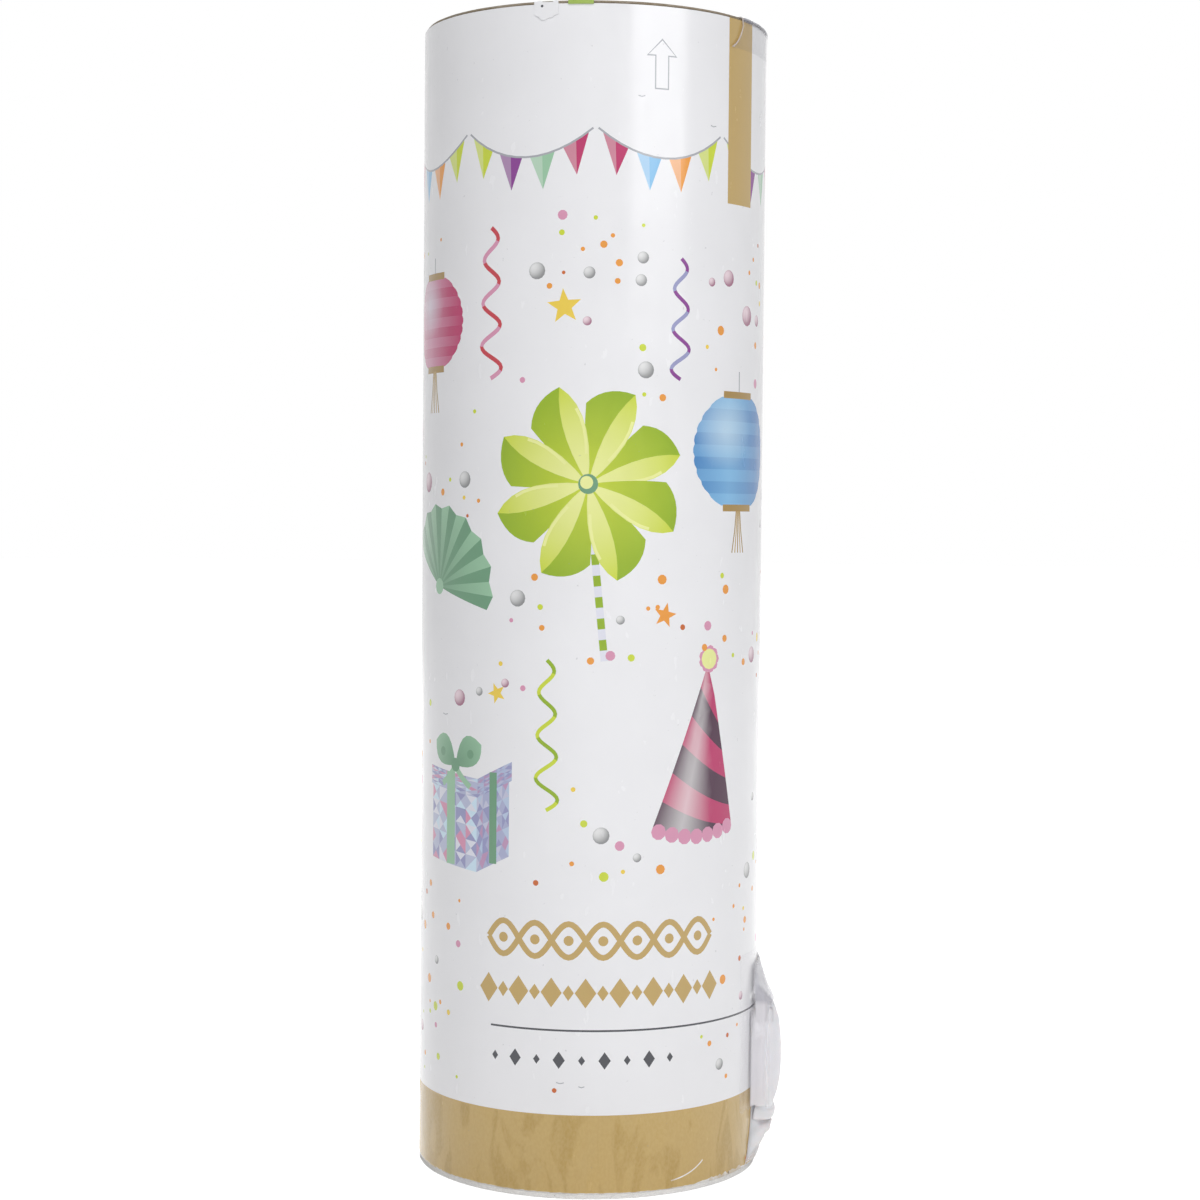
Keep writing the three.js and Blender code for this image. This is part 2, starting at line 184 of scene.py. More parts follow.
class Look:
    """A material whose colour, roughness and bump come from nodes in the piece's own coordinates."""

    def __init__(self, name, roughness, **sockets):
        self.material = bpy.data.materials.new(name)
        self.material.use_nodes = True
        self.tree = self.material.node_tree
        self.shader = self.tree.nodes["Principled BSDF"]
        self.shader.inputs["Roughness"].default_value = roughness
        for socket, value in sockets.items():
            self.shader.inputs[socket.replace("_", " ")].default_value = value
        self.place = self.tree.nodes.new("ShaderNodeTexCoord").outputs["Object"]
        self.normal = None

    def node(self, kind, inputs, **settings):
        made = self.tree.nodes.new(kind)
        for name, value in settings.items():
            setattr(made, name, value)
        for socket, value in inputs.items():
            if isinstance(value, bpy.types.NodeSocket):
                self.tree.links.new(value, made.inputs[socket])
            else:
                made.inputs[socket].default_value = value
        return made

    def axes(self):
        """The X, Y and Z of the shaded point, in metres."""
        return self.node("ShaderNodeSeparateXYZ", {0: self.place}).outputs

    def stretched(self, x, y, z):
        """The piece's coordinates with each axis scaled, for grain that runs one way."""
        return self.node("ShaderNodeMapping", {"Vector": self.place, "Scale": (x, y, z)}).outputs[0]

    def grain(self, size, detail=4.0, place=None, distortion=0.0):
        """Noise from 0 to 1, with features about size mm across."""
        inputs = {"Vector": place or self.place, "Scale": 1 / (size * MM), "Detail": detail}
        return self.node("ShaderNodeTexNoise", {**inputs, "Distortion": distortion}).outputs["Fac"]

    def span(self, value, low, high, to_low=0.0, to_high=1.0):
        inputs = {"Value": value, "From Min": low, "From Max": high, "To Min": to_low, "To Max": to_high}
        return self.node("ShaderNodeMapRange", inputs).outputs[0]

    def maths(self, operation, first, second=0.0):
        return self.node("ShaderNodeMath", {0: first, 1: second}, operation=operation).outputs[0]

    def sum(self, first, second):
        return self.maths("ADD", first, second)

    def product(self, first, second):
        return self.maths("MULTIPLY", first, second)

    def blend(self, share, first, second, kind="MIX"):
        values = [c if isinstance(c, bpy.types.NodeSocket) else (*c, 1) for c in (first, second)]
        inputs = {0: share, 6: values[0], 7: values[1]}
        return self.node("ShaderNodeMix", inputs, data_type="RGBA", blend_type=kind).outputs[2]

    def colour(self, value):
        self.tree.links.new(value, self.shader.inputs["Base Color"])

    def alpha(self, value):
        self.tree.links.new(value, self.shader.inputs["Alpha"])

    def roughness(self, value):
        self.tree.links.new(value, self.shader.inputs["Roughness"])

    def bump(self, height, depth, strength=1.0):
        """Raises the surface by up to depth mm where height is 1."""
        inputs = {"Height": height, "Distance": depth * MM, "Strength": strength}
        if self.normal is not None:
            inputs["Normal"] = self.normal
        self.normal = self.node("ShaderNodeBump", inputs).outputs[0]
        self.tree.links.new(self.normal, self.shader.inputs["Normal"])


def height_of(look):
    """The height in mm of the shaded point, in the piece's own coordinates."""
    return look.product(look.axes()[2], 1 / MM)


def reach_of(look):
    """The distance in mm of the shaded point from the piece's Z axis."""
    axes = look.axes()
    flat = look.node("ShaderNodeCombineXYZ", {0: axes[0], 1: axes[1], 2: 0.0}).outputs[0]
    reach = look.node("ShaderNodeVectorMath", {0: flat}, operation="LENGTH").outputs["Value"]
    return look.product(reach, 1 / MM)


def azimuth_in(look):
    """The direction of the shaded point from the piece's Z axis, in radians."""
    axes = look.axes()
    return look.maths("ARCTAN2", axes[1], axes[0])


def label_look():
    look = Look("label_paper", 0.16, Specular_IOR_Level=0.5)
    printed = look.node("ShaderNodeAttribute", {}, attribute_name="print").outputs["Color"]
    clouds = look.span(look.grain(18), 0.3, 0.7, 0.965, 1.0)
    grey = look.node("ShaderNodeCombineColor", {0: clouds, 1: clouds, 2: clouds}).outputs[0]
    colour = look.blend(1.0, printed, grey, "MULTIPLY")
    in_band = look.span(height_of(look), BAND_TOP, BAND_TOP - 0.4)
    streaks = look.grain(7, 5, look.stretched(1, 1, 0.3), 1.2)
    varnish = look.product(look.span(streaks, 0.5, 0.58, 0.0, 0.5), in_band)
    colour = look.blend(varnish, colour, ink("a8883f"))
    canvas = look.grain(0.45, 2, look.stretched(1, 1, 0.6))
    weave = look.product(look.span(canvas, 0.35, 0.65, 0.0, 0.18), in_band)
    colour = look.blend(weave, colour, ink("d8bf86"))
    specks = look.span(look.grain(0.9, 2), 0.745, 0.79, 0.0, 0.3)
    look.colour(look.blend(specks, colour, ink("8f8f96")))
    scuffs = look.grain(2.5, 8, look.stretched(1, 1, 0.4))
    look.roughness(look.span(scuffs, 0.35, 0.75, 0.13, 0.3))
    look.bump(look.grain(14, 2, look.stretched(1, 1, 0.15)), 0.05)
    look.bump(look.grain(0.5, 3), 0.004)
    return look.material


def board_look(name, base, dark, speck, shaded_below=0.0):
    """Rough paperboard with short fibres, darker flecks and a layered cut edge. Below a height it has a
    painted
    shadow line: darkened in stretches with the flecks' colour."""
    look = Look(name, 0.92, Specular_IOR_Level=0.2)
    fibres = look.grain(0.5, 8, look.stretched(1, 0.3, 2.6), 1.2)
    clouds = look.grain(6, 5)
    colour = look.blend(look.span(fibres, 0.35, 0.68, 0.0, 0.75), base, dark)
    colour = look.blend(look.span(clouds, 0.4, 0.75, 0.0, 0.35), colour, lighter(base, 0.25))
    stretches = look.span(look.grain(12, 2, look.stretched(1, 1, 0)), 0.4, 0.52, 0.25, 0.85)
    # Painted shadow: below shaded_below the board is darkened in stretches with the flecks' colour, for the
    # shade under an edge.
    painted_shadow_below = look.span(height_of(look), shaded_below + 0.1, shaded_below - 0.15)
    colour = look.blend(look.product(painted_shadow_below, stretches), colour, speck)
    look.colour(look.blend(look.span(look.grain(1.1, 3), 0.7, 0.74, 0.0, 0.8), colour, speck))
    look.bump(fibres, 0.08)
    look.bump(look.grain(0.25, 4), 0.02)
    return look.material


def winding_look(name, base):
    """Card of the tube: greyboard with the slanting seams of its spiral winding."""
    turns_per_metre = 12.0
    look = Look(name, 0.88, Specular_IOR_Level=0.2)
    fibres = look.grain(0.8, 8, look.stretched(1, 1, 0.25), 0.8)
    colour = look.blend(look.span(fibres, 0.35, 0.7, 0.0, 0.6), base, darker(base, 0.35))
    risen = look.product(look.axes()[2], turns_per_metre)
    slope = look.sum(risen, look.maths("DIVIDE", azimuth_in(look), math.tau))
    seam = look.span(look.maths("FLOORED_MODULO", slope, 1.0), 0.0, 0.02, 1.0, 0.0)
    look.colour(look.blend(look.product(seam, 0.6), colour, darker(base, 0.6)))
    look.bump(seam, -0.15)
    look.bump(fibres, 0.05)
    return look.material


def latex_look():
    look = Look("latex", 0.42, Specular_IOR_Level=0.4, Subsurface_Weight=0.5, Subsurface_Scale=0.004)
    look.shader.inputs["Subsurface Radius"].default_value = (1.0, 0.75, 0.65)
    patches = look.grain(7, 3)
    # Painted shade: below 14 mm, and most below 8 mm, the latex is tinted a darker pinkish-brown for the
    # shade between its layers near the foot.
    low = look.span(height_of(look), 8.0, 14.0, 1.0, 0.0)
    colour = look.blend(look.span(patches, 0.35, 0.7, 0.0, 0.6), ink("f8f4f8"), ink("efebf1"))
    colour = look.blend(look.product(low, 0.35), colour, ink("e9dfdb"))
    look.colour(colour)
    look.roughness(look.span(look.grain(2.5, 5), 0.3, 0.7, 0.34, 0.55))
    look.bump(look.grain(3.5, 4, look.stretched(1, 1, 0.35), 0.8), 0.22)
    look.bump(look.grain(0.6, 3), 0.012)
    return look.material


CLEAR_FILM = 0.06


def film_look(name):
    """Clear sticky tape with faint haze and small wrinkles."""
    look = Look(name, 0.14, Specular_IOR_Level=0.5)
    haze = look.grain(5, 4, look.stretched(1, 1, 0.3), 1.0)
    look.colour(look.blend(haze, ink("f0f0f5"), ink("dcdce4")))
    look.roughness(look.span(haze, 0.3, 0.7, 0.08, 0.3))
    look.bump(look.grain(2.2, 4, look.stretched(1, 1, 0.25), 2.0), 0.18)
    return look


def neck_tape_look():
    """The tape on the neck: hardly seen on the label and the latex, milky where it leaves the wall beside the
    neck and where it bridges above the fold."""
    look = film_look("neck_tape")
    reach = reach_of(look)
    height = height_of(look)
    off_wall = look.span(reach, BODY_RADIUS + 0.5, BODY_RADIUS + 0.9)
    off_neck = look.span(reach, BODY_RADIUS + 4.0, BODY_RADIUS + 2.4)
    above = look.product(off_wall, look.span(height, FOLD_TOP - 0.2, FOLD_TOP + 1))
    below = look.span(height, FOLD_TOP, FOLD_TOP - 3)
    aside = look.maths("ABSOLUTE", azimuth_in(look))
    leaving = look.product(look.span(aside, math.radians(25.8), math.radians(25.0)), below)
    beside = look.product(look.maths("MAXIMUM", off_wall, leaving), off_neck)
    look.colour(look.blend(above, ink("efedf2"), ink("cfced6")))
    milky = look.maths("MAXIMUM", look.product(above, 0.5), look.product(beside, 0.6))
    look.alpha(look.sum(milky, CLEAR_FILM))
    return look.material


def tab_film_look(sticks_below, centre, radius):
    """The tape tab on the lid: milky where it bridges from the lid to the wall, clear where it sticks, and
    pale along its curled edge, which is an arc about a centre on the wall."""
    look = film_look("tab_film")
    ends = {0: look.place, 1: Vector(centre) * MM}
    apart = look.node("ShaderNodeVectorMath", ends, operation="DISTANCE").outputs["Value"]
    off_edge = look.product(look.sum(apart, -radius * MM), 1 / MM)
    curled = look.span(off_edge, 0.3, 0.6, 1.0, 0.0)
    bridging = look.span(height_of(look), sticks_below - 0.4, sticks_below + 0.4)
    look.colour(look.blend(curled, ink("a3a2ac"), ink("e2d8d6")))
    milky = look.maths("MAXIMUM", look.product(curled, 0.5), look.product(bridging, 0.5))
    look.alpha(look.sum(milky, CLEAR_FILM))
    return look.material


def paper_look(name, base, stretch=1.0, fibre_dark=0.3, crinkle=0.06, layer=0.0):
    """Coloured party paper: matt, a little uneven in colour, with fine fibres, and with the rings of rolled
    layers where layer gives their thickness."""
    look = Look(name, 0.78, Specular_IOR_Level=0.25)
    clouds = look.span(look.grain(5, 5), 0.35, 0.7, 0.0, 0.4)
    colour = look.blend(clouds, base, lighter(base, 0.14))
    fibres = look.grain(0.35, 5, look.stretched(1, 1, stretch), 0.6)
    colour = look.blend(look.span(fibres, 0.4, 0.7, 0.0, fibre_dark), colour, darker(base, 0.3))
    if layer:
        within = look.maths("FLOORED_MODULO", look.product(reach_of(look), 1 / layer), 1.0)
        gap = look.span(within, 0.7, 1.0)
        colour = look.blend(look.product(gap, 0.45), colour, darker(base, 0.5))
        look.bump(gap, -0.1)
    look.colour(colour)
    look.bump(fibres, crinkle)
    return look.material


PAPER_COLOURS = {
    "paper_magenta": ink("bd3169"), "paper_blue": ink("6fb1e0"), "paper_orange": ink("eba13a"),
    "paper_lime": ink("c3d033"), "paper_purple": ink("8a3f93"), "paper_teal": ink("6ec1c6"),
    "paper_coral": ink("d07a50"), "paper_cream": ink("f0e9e0"),
}
made_papers = {}


def party_paper(slot, wound=False):
    """The look of a coloured paper, made once for each slot. wound is for a tightly rolled one."""
    name = slot + ("_wound" if wound else "")
    if name not in made_papers:
        made_papers[name] = paper_look(name, PAPER_COLOURS[slot], layer=0.42 if wound else 0.0)
    return made_papers[name]


def foil_look():
    look = Look("gold_foil", 0.24, Metallic=1.0)
    crumple = look.grain(1.6, 5, None, 1.5)
    look.colour(look.blend(crumple, ink("e3bf62"), ink("c79a3a")))
    look.roughness(look.span(look.grain(0.8, 4), 0.3, 0.7, 0.16, 0.38))
    look.bump(crumple, 0.08)
    return look.material


def mask_look():
    """Card laminated with a pearly film whose tint shifts from place to place."""
    look = Look("mask_film", 0.2, Metallic=0.65, Coat_Weight=0.4)
    cells = look.node("ShaderNodeTexVoronoi", {"Vector": look.place, "Scale": 1 / (2.4 * MM)})
    tint = look.node("ShaderNodeSeparateColor", {0: cells.outputs["Color"]}).outputs[0]
    colour = look.blend(look.span(tint, 0.2, 0.8), ink("b4bbdc"), ink("d6cfe2"))
    look.colour(look.blend(look.span(look.grain(7, 3), 0.45, 0.6, 0.0, 0.6), colour, ink("aecbd2")))
    look.bump(cells.outputs["Distance"], 0.12)
    return look.material


def plastic_look():
    look = Look("white_plastic", 0.3, Specular_IOR_Level=0.5)
    look.colour(look.blend(look.grain(9, 3), ink("f1eee6"), ink("e6e2d8")))
    look.roughness(look.span(look.grain(1.5, 5), 0.3, 0.7, 0.24, 0.4))
    look.bump(look.grain(0.7, 3), 0.006)
    return look.material


# Meshes

def object_from(name, mesh, look, smooth_below=40.0):
    """An object for a mesh in metres, shaded smooth but for its sharp edges."""
    mesh.materials.append(look)
    mesh.shade_smooth()
    if smooth_below:
        mesh.set_sharp_from_angle(angle=math.radians(smooth_below))
    return linked(name, mesh)


def bare_mesh(name, points, faces):
    mesh = bpy.data.meshes.new(name)
    mesh.from_pydata([Vector(p) * MM for p in points], [], faces)
    return mesh


def mesh_from(name, points, faces):
    """A closed mesh from points in mm, with points that coincide joined and its faces turned outwards."""
    mesh = bare_mesh(name, points, faces)
    work = bmesh.new()
    work.from_mesh(mesh)
    bmesh.ops.remove_doubles(work, verts=work.verts, dist=1e-7)
    bmesh.ops.dissolve_degenerate(work, edges=work.edges, dist=1e-8)
    bmesh.ops.recalc_face_normals(work, faces=work.faces)
    work.to_mesh(mesh)
    work.free()
    return mesh


def loft(rings, closed=False):
    """Points and faces of a surface through rings of the same number of points, with its ends capped."""
    count = len(rings[0])
    points = [p for ring in rings for p in ring]
    faces = []
    last = len(rings) if closed else len(rings) - 1
    for i in range(last):
        near = i * count
        far = (i + 1) % len(rings) * count
        for k in range(count):
            following = (k + 1) % count
            faces.append((near + k, near + following, far + following, far + k))
    if not closed:
        faces.append(tuple(range(count))[::-1])
        faces.append(tuple(range(len(points) - count, len(points))))
    return points, faces


def turned(profile, segments, wobble=None, twist=0.0):
    """A closed profile of (radius, height) points turned about the Z axis. wobble(angle, radius, height)
    moves a point's radius, and twist turns the shape by that many radians per mm of height."""
    rings = []
    for i in range(segments):
        angle = math.tau * i / segments
        ring = []
        for radius, height in profile:
            turn = angle + twist * height
            reach = radius + (wobble(turn, radius, height) if wobble and radius > 0 else 0.0)
            ring.append(around(reach, turn, height))
        rings.append(ring)
    return loft(rings, closed=True)


def placed(points, offset):
    return [(p[0] + offset[0], p[1] + offset[1], p[2] + offset[2]) for p in points]


def joined(first, second):
    """Two shapes, each its points and faces, as one."""
    shift = len(first[0])
    return first[0] + second[0], first[1] + [tuple(i + shift for i in face) for face in second[1]]


def piece(name, points_faces, look, body, node=None, smooth_below=40.0):
    """A finished piece that rides on a body and, where node is given, stands for that node."""
    made = object_from(name, mesh_from(name, *points_faces), look, smooth_below)
    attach(made, body)
    if node:
        stand_for(node)
    return made


def stand_for(node):
    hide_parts(node)


# Sheets bent round the Z axis, drawn flat first

def signed_area(outline):
    return sum(a[0] * b[1] - b[0] * a[1] for a, b in zip(outline, outline[1:] + outline[:1])) / 2


def flat_triangles(regions, loose):
    """Triangulates regions, each a closed outline, and gives the points, the triangles and, for each
    triangle, the numbers of the regions that it lies in."""
    points = []
    faces = []
    for outline in regions:
        if signed_area(outline) < 0:
            outline = outline[::-1]
        faces.append(list(range(len(points), len(points) + len(outline))))
        points.extend(outline)
    points.extend(loose)
    found = delaunay_2d_cdt([Vector(p) for p in points], [], faces, 1, 1e-5)
    return [tuple(p) for p in found[0]], [tuple(f) for f in found[2]], found[5]


def grid_inside(outline, step_u, step_v):
    us = [p[0] for p in outline]
    vs = [p[1] for p in outline]
    columns = max(1, round((max(us) - min(us)) / step_u))
    rows = max(1, round((max(vs) - min(vs)) / step_v))
    wide, tall = max(us) - min(us), max(vs) - min(vs)
    return [
        (min(us) + wide * (i + 0.5 * (j % 2)) / columns, min(vs) + tall * j / rows)
        for i in range(1, columns - 1)
        for j in range(1, rows)
    ]


def edge_loops(triangles):
    """The border edges of a triangulated sheet, in the triangles' direction."""
    edges = {}
    for a, b, c in triangles:
        for pair in ((a, b), (b, c), (c, a)):
            edges[pair] = edges.get(pair, 0) + 1
    return [pair for pair in edges if (pair[1], pair[0]) not in edges]


def wrapped(name, outline, holes, outer, inner, step, look, inks=None, full_round=False):
    """A closed sheet between the radii that outer(u, v) and inner(u, v) give, cut to an outline drawn on the
    unrolled wall. inks is a list of (outline, colour) printed on its outer face, later ones on top, where
    a colour may be a function of (u, v)."""
    inks = inks or []
    regions = [outline, *holes, *[area for area, _ in inks]]
    flat, triangles, lies_in = flat_triangles(regions, grid_inside(outline, *step))
    hole_numbers = set(range(1, 1 + len(holes)))
    kept = [
        (triangle, found)
        for triangle, found in zip(triangles, lies_in)
        if 0 in found and not hole_numbers & set(found)
    ]
    triangles = [triangle for triangle, _ in kept]
    border = edge_loops(triangles)
    used = sorted({i for triangle in triangles for i in triangle})
    renumbered = {old: new for new, old in enumerate(used)}
    count = len(used)
    points = []
    for radius_at in (outer, inner):
        for i in used:
            u, v = flat[i]
            points.append(around(radius_at(u, v), azimuth_of(u), v))
    faces = [tuple(renumbered[i] for i in triangle) for triangle in triangles]
    colours = []
    for triangle, found in kept:
        top = max(found) - 1 - len(holes)
        paint = inks[top][1] if top >= 0 else PAPER_WHITE
        for i in triangle:
            colours.append(paint(*flat[i]) if callable(paint) else paint)
    faces += [tuple(i + count for i in reversed(face)) for face in faces]
    seam = HALF_ROUND - 1e-3
    for a, b in border:
        on_seam = full_round and abs(flat[a][0]) > seam and abs(flat[b][0]) > seam
        if not on_seam:
            near, far = renumbered[a], renumbered[b]
            faces.append((far, near, near + count, far + count))
        elif flat[a][0] > 0:
            faces.append(seam_step(flat, renumbered, a, b))
    mesh = bare_mesh(name, points, [face for face in faces if face])
    if inks:
        paint = mesh.color_attributes.new(name="print", type="FLOAT_COLOR", domain="CORNER")
        white = [(*PAPER_WHITE, 1.0)] * (len(paint.data) - len(colours))
        values = [(*c, 1.0) for c in colours] + white
        paint.data.foreach_set("color", np.array(values, np.float32).ravel())
    work = bmesh.new()
    work.from_mesh(mesh)
    bmesh.ops.remove_doubles(work, verts=work.verts, dist=2e-6)
    work.to_mesh(mesh)
    work.free()
    made = object_from(name, mesh, look, None)
    round_normals(mesh)
    return made


def seam_step(flat, renumbered, a, b):
    """The small step where the sheet's end laps over its start, across from the edge a-b at the end."""
    start = {round(flat[i][1], 3): i for i in renumbered if flat[i][0] < -HALF_ROUND + 1e-3}
    low = start.get(round(flat[a][1], 3))
    high = start.get(round(flat[b][1], 3))
    if low is None or high is None:
        return None
    return tuple(renumbered[i] for i in (b, a, low, high))


def round_normals(mesh):
    """Gives a sheet bent round the Z axis the normals of its curve, and flat ones along its cut edges."""
    normals = []
    for polygon in mesh.polygons:
        facing = polygon.normal
        for i in polygon.vertices:
            out = Vector((mesh.vertices[i].co.x, mesh.vertices[i].co.y, 0)).normalized()
            along = facing.dot(out)
            normals.append(out * (1 if along > 0 else -1) if abs(along) > 0.75 else facing)
    mesh.normals_split_custom_set(normals)


# The print on the label: generic party motifs, all drawn here

PAPER_WHITE = ink("f0f0f3")
INKS = {
    "magenta": ink("bd3169"), "plum": ink("4b2340"), "rose": ink("d996b4"),
    "lime": ink("cbd93c"), "leaf": ink("93b31f"), "pale_lime": ink("edf1a0"),
    "sky": ink("86c0ea"), "blue": ink("3f7fbf"), "pale_blue": ink("cfe6f6"),
    "orange": ink("ec9c3f"), "rust": ink("c9662b"), "yellow": ink("efcf4e"),
    "mint": ink("9bc7a6"), "fern": ink("6d9d7c"), "lavender": ink("bcc2dc"),
    "lilac": ink("9a9cc6"), "pearl": ink("e2e3ef"), "purple": ink("8a3f93"),
    "gold": ink("c3a566"), "dark_gold": ink("a98847"), "grey": ink("bfc0c2"),
    "dark_grey": ink("4b4c52"), "torn_white": ink("e4e4e6"), "line_grey": ink("a9abb2"),
    "red": ink("c8414d"),
}
BAND_TOP = 17.0
RULE_HEIGHT = 34.0
FINEST_STEP = 2.0


class Artwork:
    """Outlines and colours on the unrolled label. keep_clear lists circles that confetti stays out of."""

    def __init__(self):
        self.areas = []
        self.keep_clear = []

    def area(self, outline, paint):
        colour = INKS[paint] if isinstance(paint, str) else paint
        self.areas.append((finely(outline, FINEST_STEP), colour))

    def clear(self, u, v, radius):
        self.keep_clear.append((u, v, radius))

    def disc(self, u, v, radius, paint, sides=16):
        self.area([polar(u, v, radius, math.tau * k / sides) for k in range(sides)], paint)

    def box(self, left, right, low, high, paint, step=3.0):
        pieces = max(1, math.ceil((right - left) / step))
        edge = [left + (right - left) * k / pieces for k in range(pieces + 1)]
        self.area([(u, low) for u in edge] + [(u, high) for u in reversed(edge)], paint)

    def lozenge(self, u, v, half_width, half_height, paint):
        corners = [(u + half_width, v), (u, v + half_height), (u - half_width, v), (u, v - half_height)]
        self.area(corners, paint)

    def line(self, route, width, paint):
        """A line of a set width along a route, one short area per stretch. paint may choose by stretch."""
        sides = [[], []]
        for k, (u, v) in enumerate(route):
            before = route[max(0, k - 1)]
            after = route[min(len(route) - 1, k + 1)]
            du, dv = after[0] - before[0], after[1] - before[1]
            size = math.hypot(du, dv)
            for side, sign in zip(sides, (0.5, -0.5)):
                side.append((u - dv / size * width * sign, v + du / size * width * sign))
        for k in range(len(route) - 1):
            stretch = [sides[0][k], sides[0][k + 1], sides[1][k + 1], sides[1][k]]
            self.area(stretch, paint(k) if callable(paint) else paint)


def finely(outline, span):
    """An outline whose edges reach no more than span mm round the wall, so that they can follow its curve."""
    made = []
    for (u, v), (next_u, next_v) in zip(outline, outline[1:] + outline[:1]):
        parts = max(1, math.ceil(abs(next_u - u) / span))
        made += [(u + (next_u - u) * k / parts, v + (next_v - v) * k / parts) for k in range(parts)]
    return made


def bent(start, pull, end, steps=7):
    """Points along the curve from start to end that is drawn towards pull, without its last point."""
    made = []
    corners = (start, pull, end)
    for k in range(steps):
        t = k / steps
        weights = ((1 - t) ** 2, 2 * t * (1 - t), t * t)
        made.append(tuple(sum(w * p[i] for w, p in zip(weights, corners)) for i in (0, 1)))
    return made


def fading(u, v, reach, near, far, power=1.5):
    """A paint that goes from near at (u, v) to far at a distance."""
    near, far = INKS[near], INKS[far]
    return lambda x, y: mixed(near, far, (math.hypot(x - u, y - v) / reach) ** power)


def pinwheel(art, u, v, radius, blades, turn):
    """A paper pinwheel on its stick. Each blade has a pale back, a fold and a darker flap."""
    art.clear(u, v, radius * 1.06)
    stick = radius * 1.35
    stripes = 14
    stripe = stick * 1.1 / stripes
    lean = 0.1
    for k in range(stripes):
        top = v - stick * 0.2 - stripe * k
        ends = [(u + (v - h) * lean, h) for h in (top, top - stripe)]
        art.line(ends, radius * 0.075, "pearl" if k % 2 else "leaf")
    heart = (u, v)
    step = math.tau / blades
    for k in range(blades):

        def spot(out, round_by):
            """A place given by shares of the radius and of the step between blades."""
            return polar(u, v, radius * out, turn + (k + round_by) * step)

        tip = spot(1.0, 0.0)
        lip = spot(0.8, 0.66)
        crease = spot(0.62, 0.34)
        back = bent(heart, spot(0.74, -0.5), tip) + bent(tip, crease, heart)
        art.area(back, fading(u, v, radius, "pale_lime", "lime"))
        flap = bent(heart, crease, tip) + bent(tip, spot(1.0, 0.4), lip) + bent(lip, spot(0.4, 0.8), heart, 5)
        art.area(flap, fading(u, v, radius, "lime", "leaf", 0.8))
        shine = bent(spot(0.3, -0.3), spot(0.66, -0.34), spot(0.84, -0.1), 5)
        art.line(shine, radius * 0.03, "pale_lime")
    art.disc(u, v, radius * 0.1, "fern")
    art.disc(u - radius * 0.015, v + radius * 0.015, radius * 0.065, "pale_lime")


def lantern(art, u, v, width, height, near, far, pale):
    """A round paper lantern with level ribs, that hangs on a cord and ends in a tassel."""
    art.clear(u, v, width * 0.56)
    art.clear(u, v - height * 0.85, height * 0.3)
    art.line([(u, v + height * (0.5 + 0.08 * k)) for k in range(4)], 0.35, "line_grey")
    ribs = 9
    near, far, pale = INKS[near], INKS[far], INKS[pale]

    def reach(level):
        return width / 2 * math.sqrt(max(0.0, 1 - (level * 0.9) ** 2))

    def paint(odd):
        def colour(x, y):
            aside = (x - u) / (width / 2)
            lit = mixed(near, far, abs(aside + 0.25) * 0.8 + odd * 0.3)
            glow = math.hypot(aside * 0.9 + 0.3, (y - v) / height * 1.7 - 0.35)
            return mixed(pale, lit, min(1.0, 0.35 + glow) ** 1.3)
        return colour

    def between(start, end, steps=10):
        return [(start[0] + (end[0] - start[0]) * i / steps, start[1]) for i in range(1, steps)]

    bulge = 0.35
    for k in range(ribs):
        right = []
        for i in range(4):
            level = 2 * (k + i / 3) / ribs - 1
            right.append((u + reach(level) + bulge * math.sin(math.pi * i / 3), v + level * height / 2))
        left = [(2 * u - x, y) for x, y in reversed(right)]
        art.area(right + between(right[-1], left[0]) + left + between(left[-1], right[0]), paint(k % 2))
    cap = width * 0.2
    for side in (1, -1):
        edge = v + side * height * 0.49
        art.box(u - cap, u + cap, min(edge, edge + side * 1.4), max(edge, edge + side * 1.4), "dark_gold")
    top = v - height * 0.55
    for k in range(-2, 3):
        strand = [(u + k * spread, top - fallen) for spread, fallen in ((0.35, 0), (0.6, 4), (1.1, 8.5))]
        art.line(strand, 0.35, "gold" if k % 2 else "dark_gold")


def party_hat(art, u, v, width, height, lean, first, second, trim):
    """A striped paper cone with a pompom and a scalloped lower edge."""
    art.clear(u, v + height * 0.45, height * 0.62)
    tip = (u + lean, v + height)
    left, right = (u - width / 2, v), (u + width / 2, v)
    bands = 6
    slant = 0.22
    sag = width * 0.16

    def along(corner, share):
        share = min(1.0, max(0.03, share))
        return (tip[0] + (corner[0] - tip[0]) * share, tip[1] + (corner[1] - tip[1]) * share)

    def stripe_paint(name):
        base = INKS[name]

        def colour(x, y):
            level = (tip[1] - y) / height
            middle = tip[0] + (u - tip[0]) * level
            aside = (x - middle) / max(1.0, width / 2 * level)
            return mixed(base, lighter(base, 0.55), 1 - min(1.0, abs(aside + 0.35) * 1.4))
        return colour

    for k in range(1, bands + 1):
        low, high = (k - 1) / bands, k / bands
        start, end = along(left, low), along(right, low + slant)
        under = (along(left, high), along(right, high + slant))
        upper_pull = ((start[0] + end[0]) / 2, (start[1] + end[1]) / 2 - sag * low)
        lower_pull = ((under[0][0] + under[1][0]) / 2, (under[0][1] + under[1][1]) / 2 - sag * high)
        outline = bent(start, upper_pull, end) + [end] + bent(under[1], lower_pull, under[0]) + [under[0]]
        art.area(outline, stripe_paint(first if k % 2 else second))
    scallops = 7
    for k in range(scallops):
        share = (k + 0.5) / scallops
        dip = math.sin(math.pi * share) * width * 0.085
        art.disc(left[0] + width * share, v - dip, width / 13, trim, 10)
    tufts = 9
    for k in range(tufts):
        art.disc(*polar(*tip, width * 0.085, math.tau * k / tufts), width * 0.05, trim, 8)
    art.disc(*tip, width * 0.1, "pale_lime", 12)


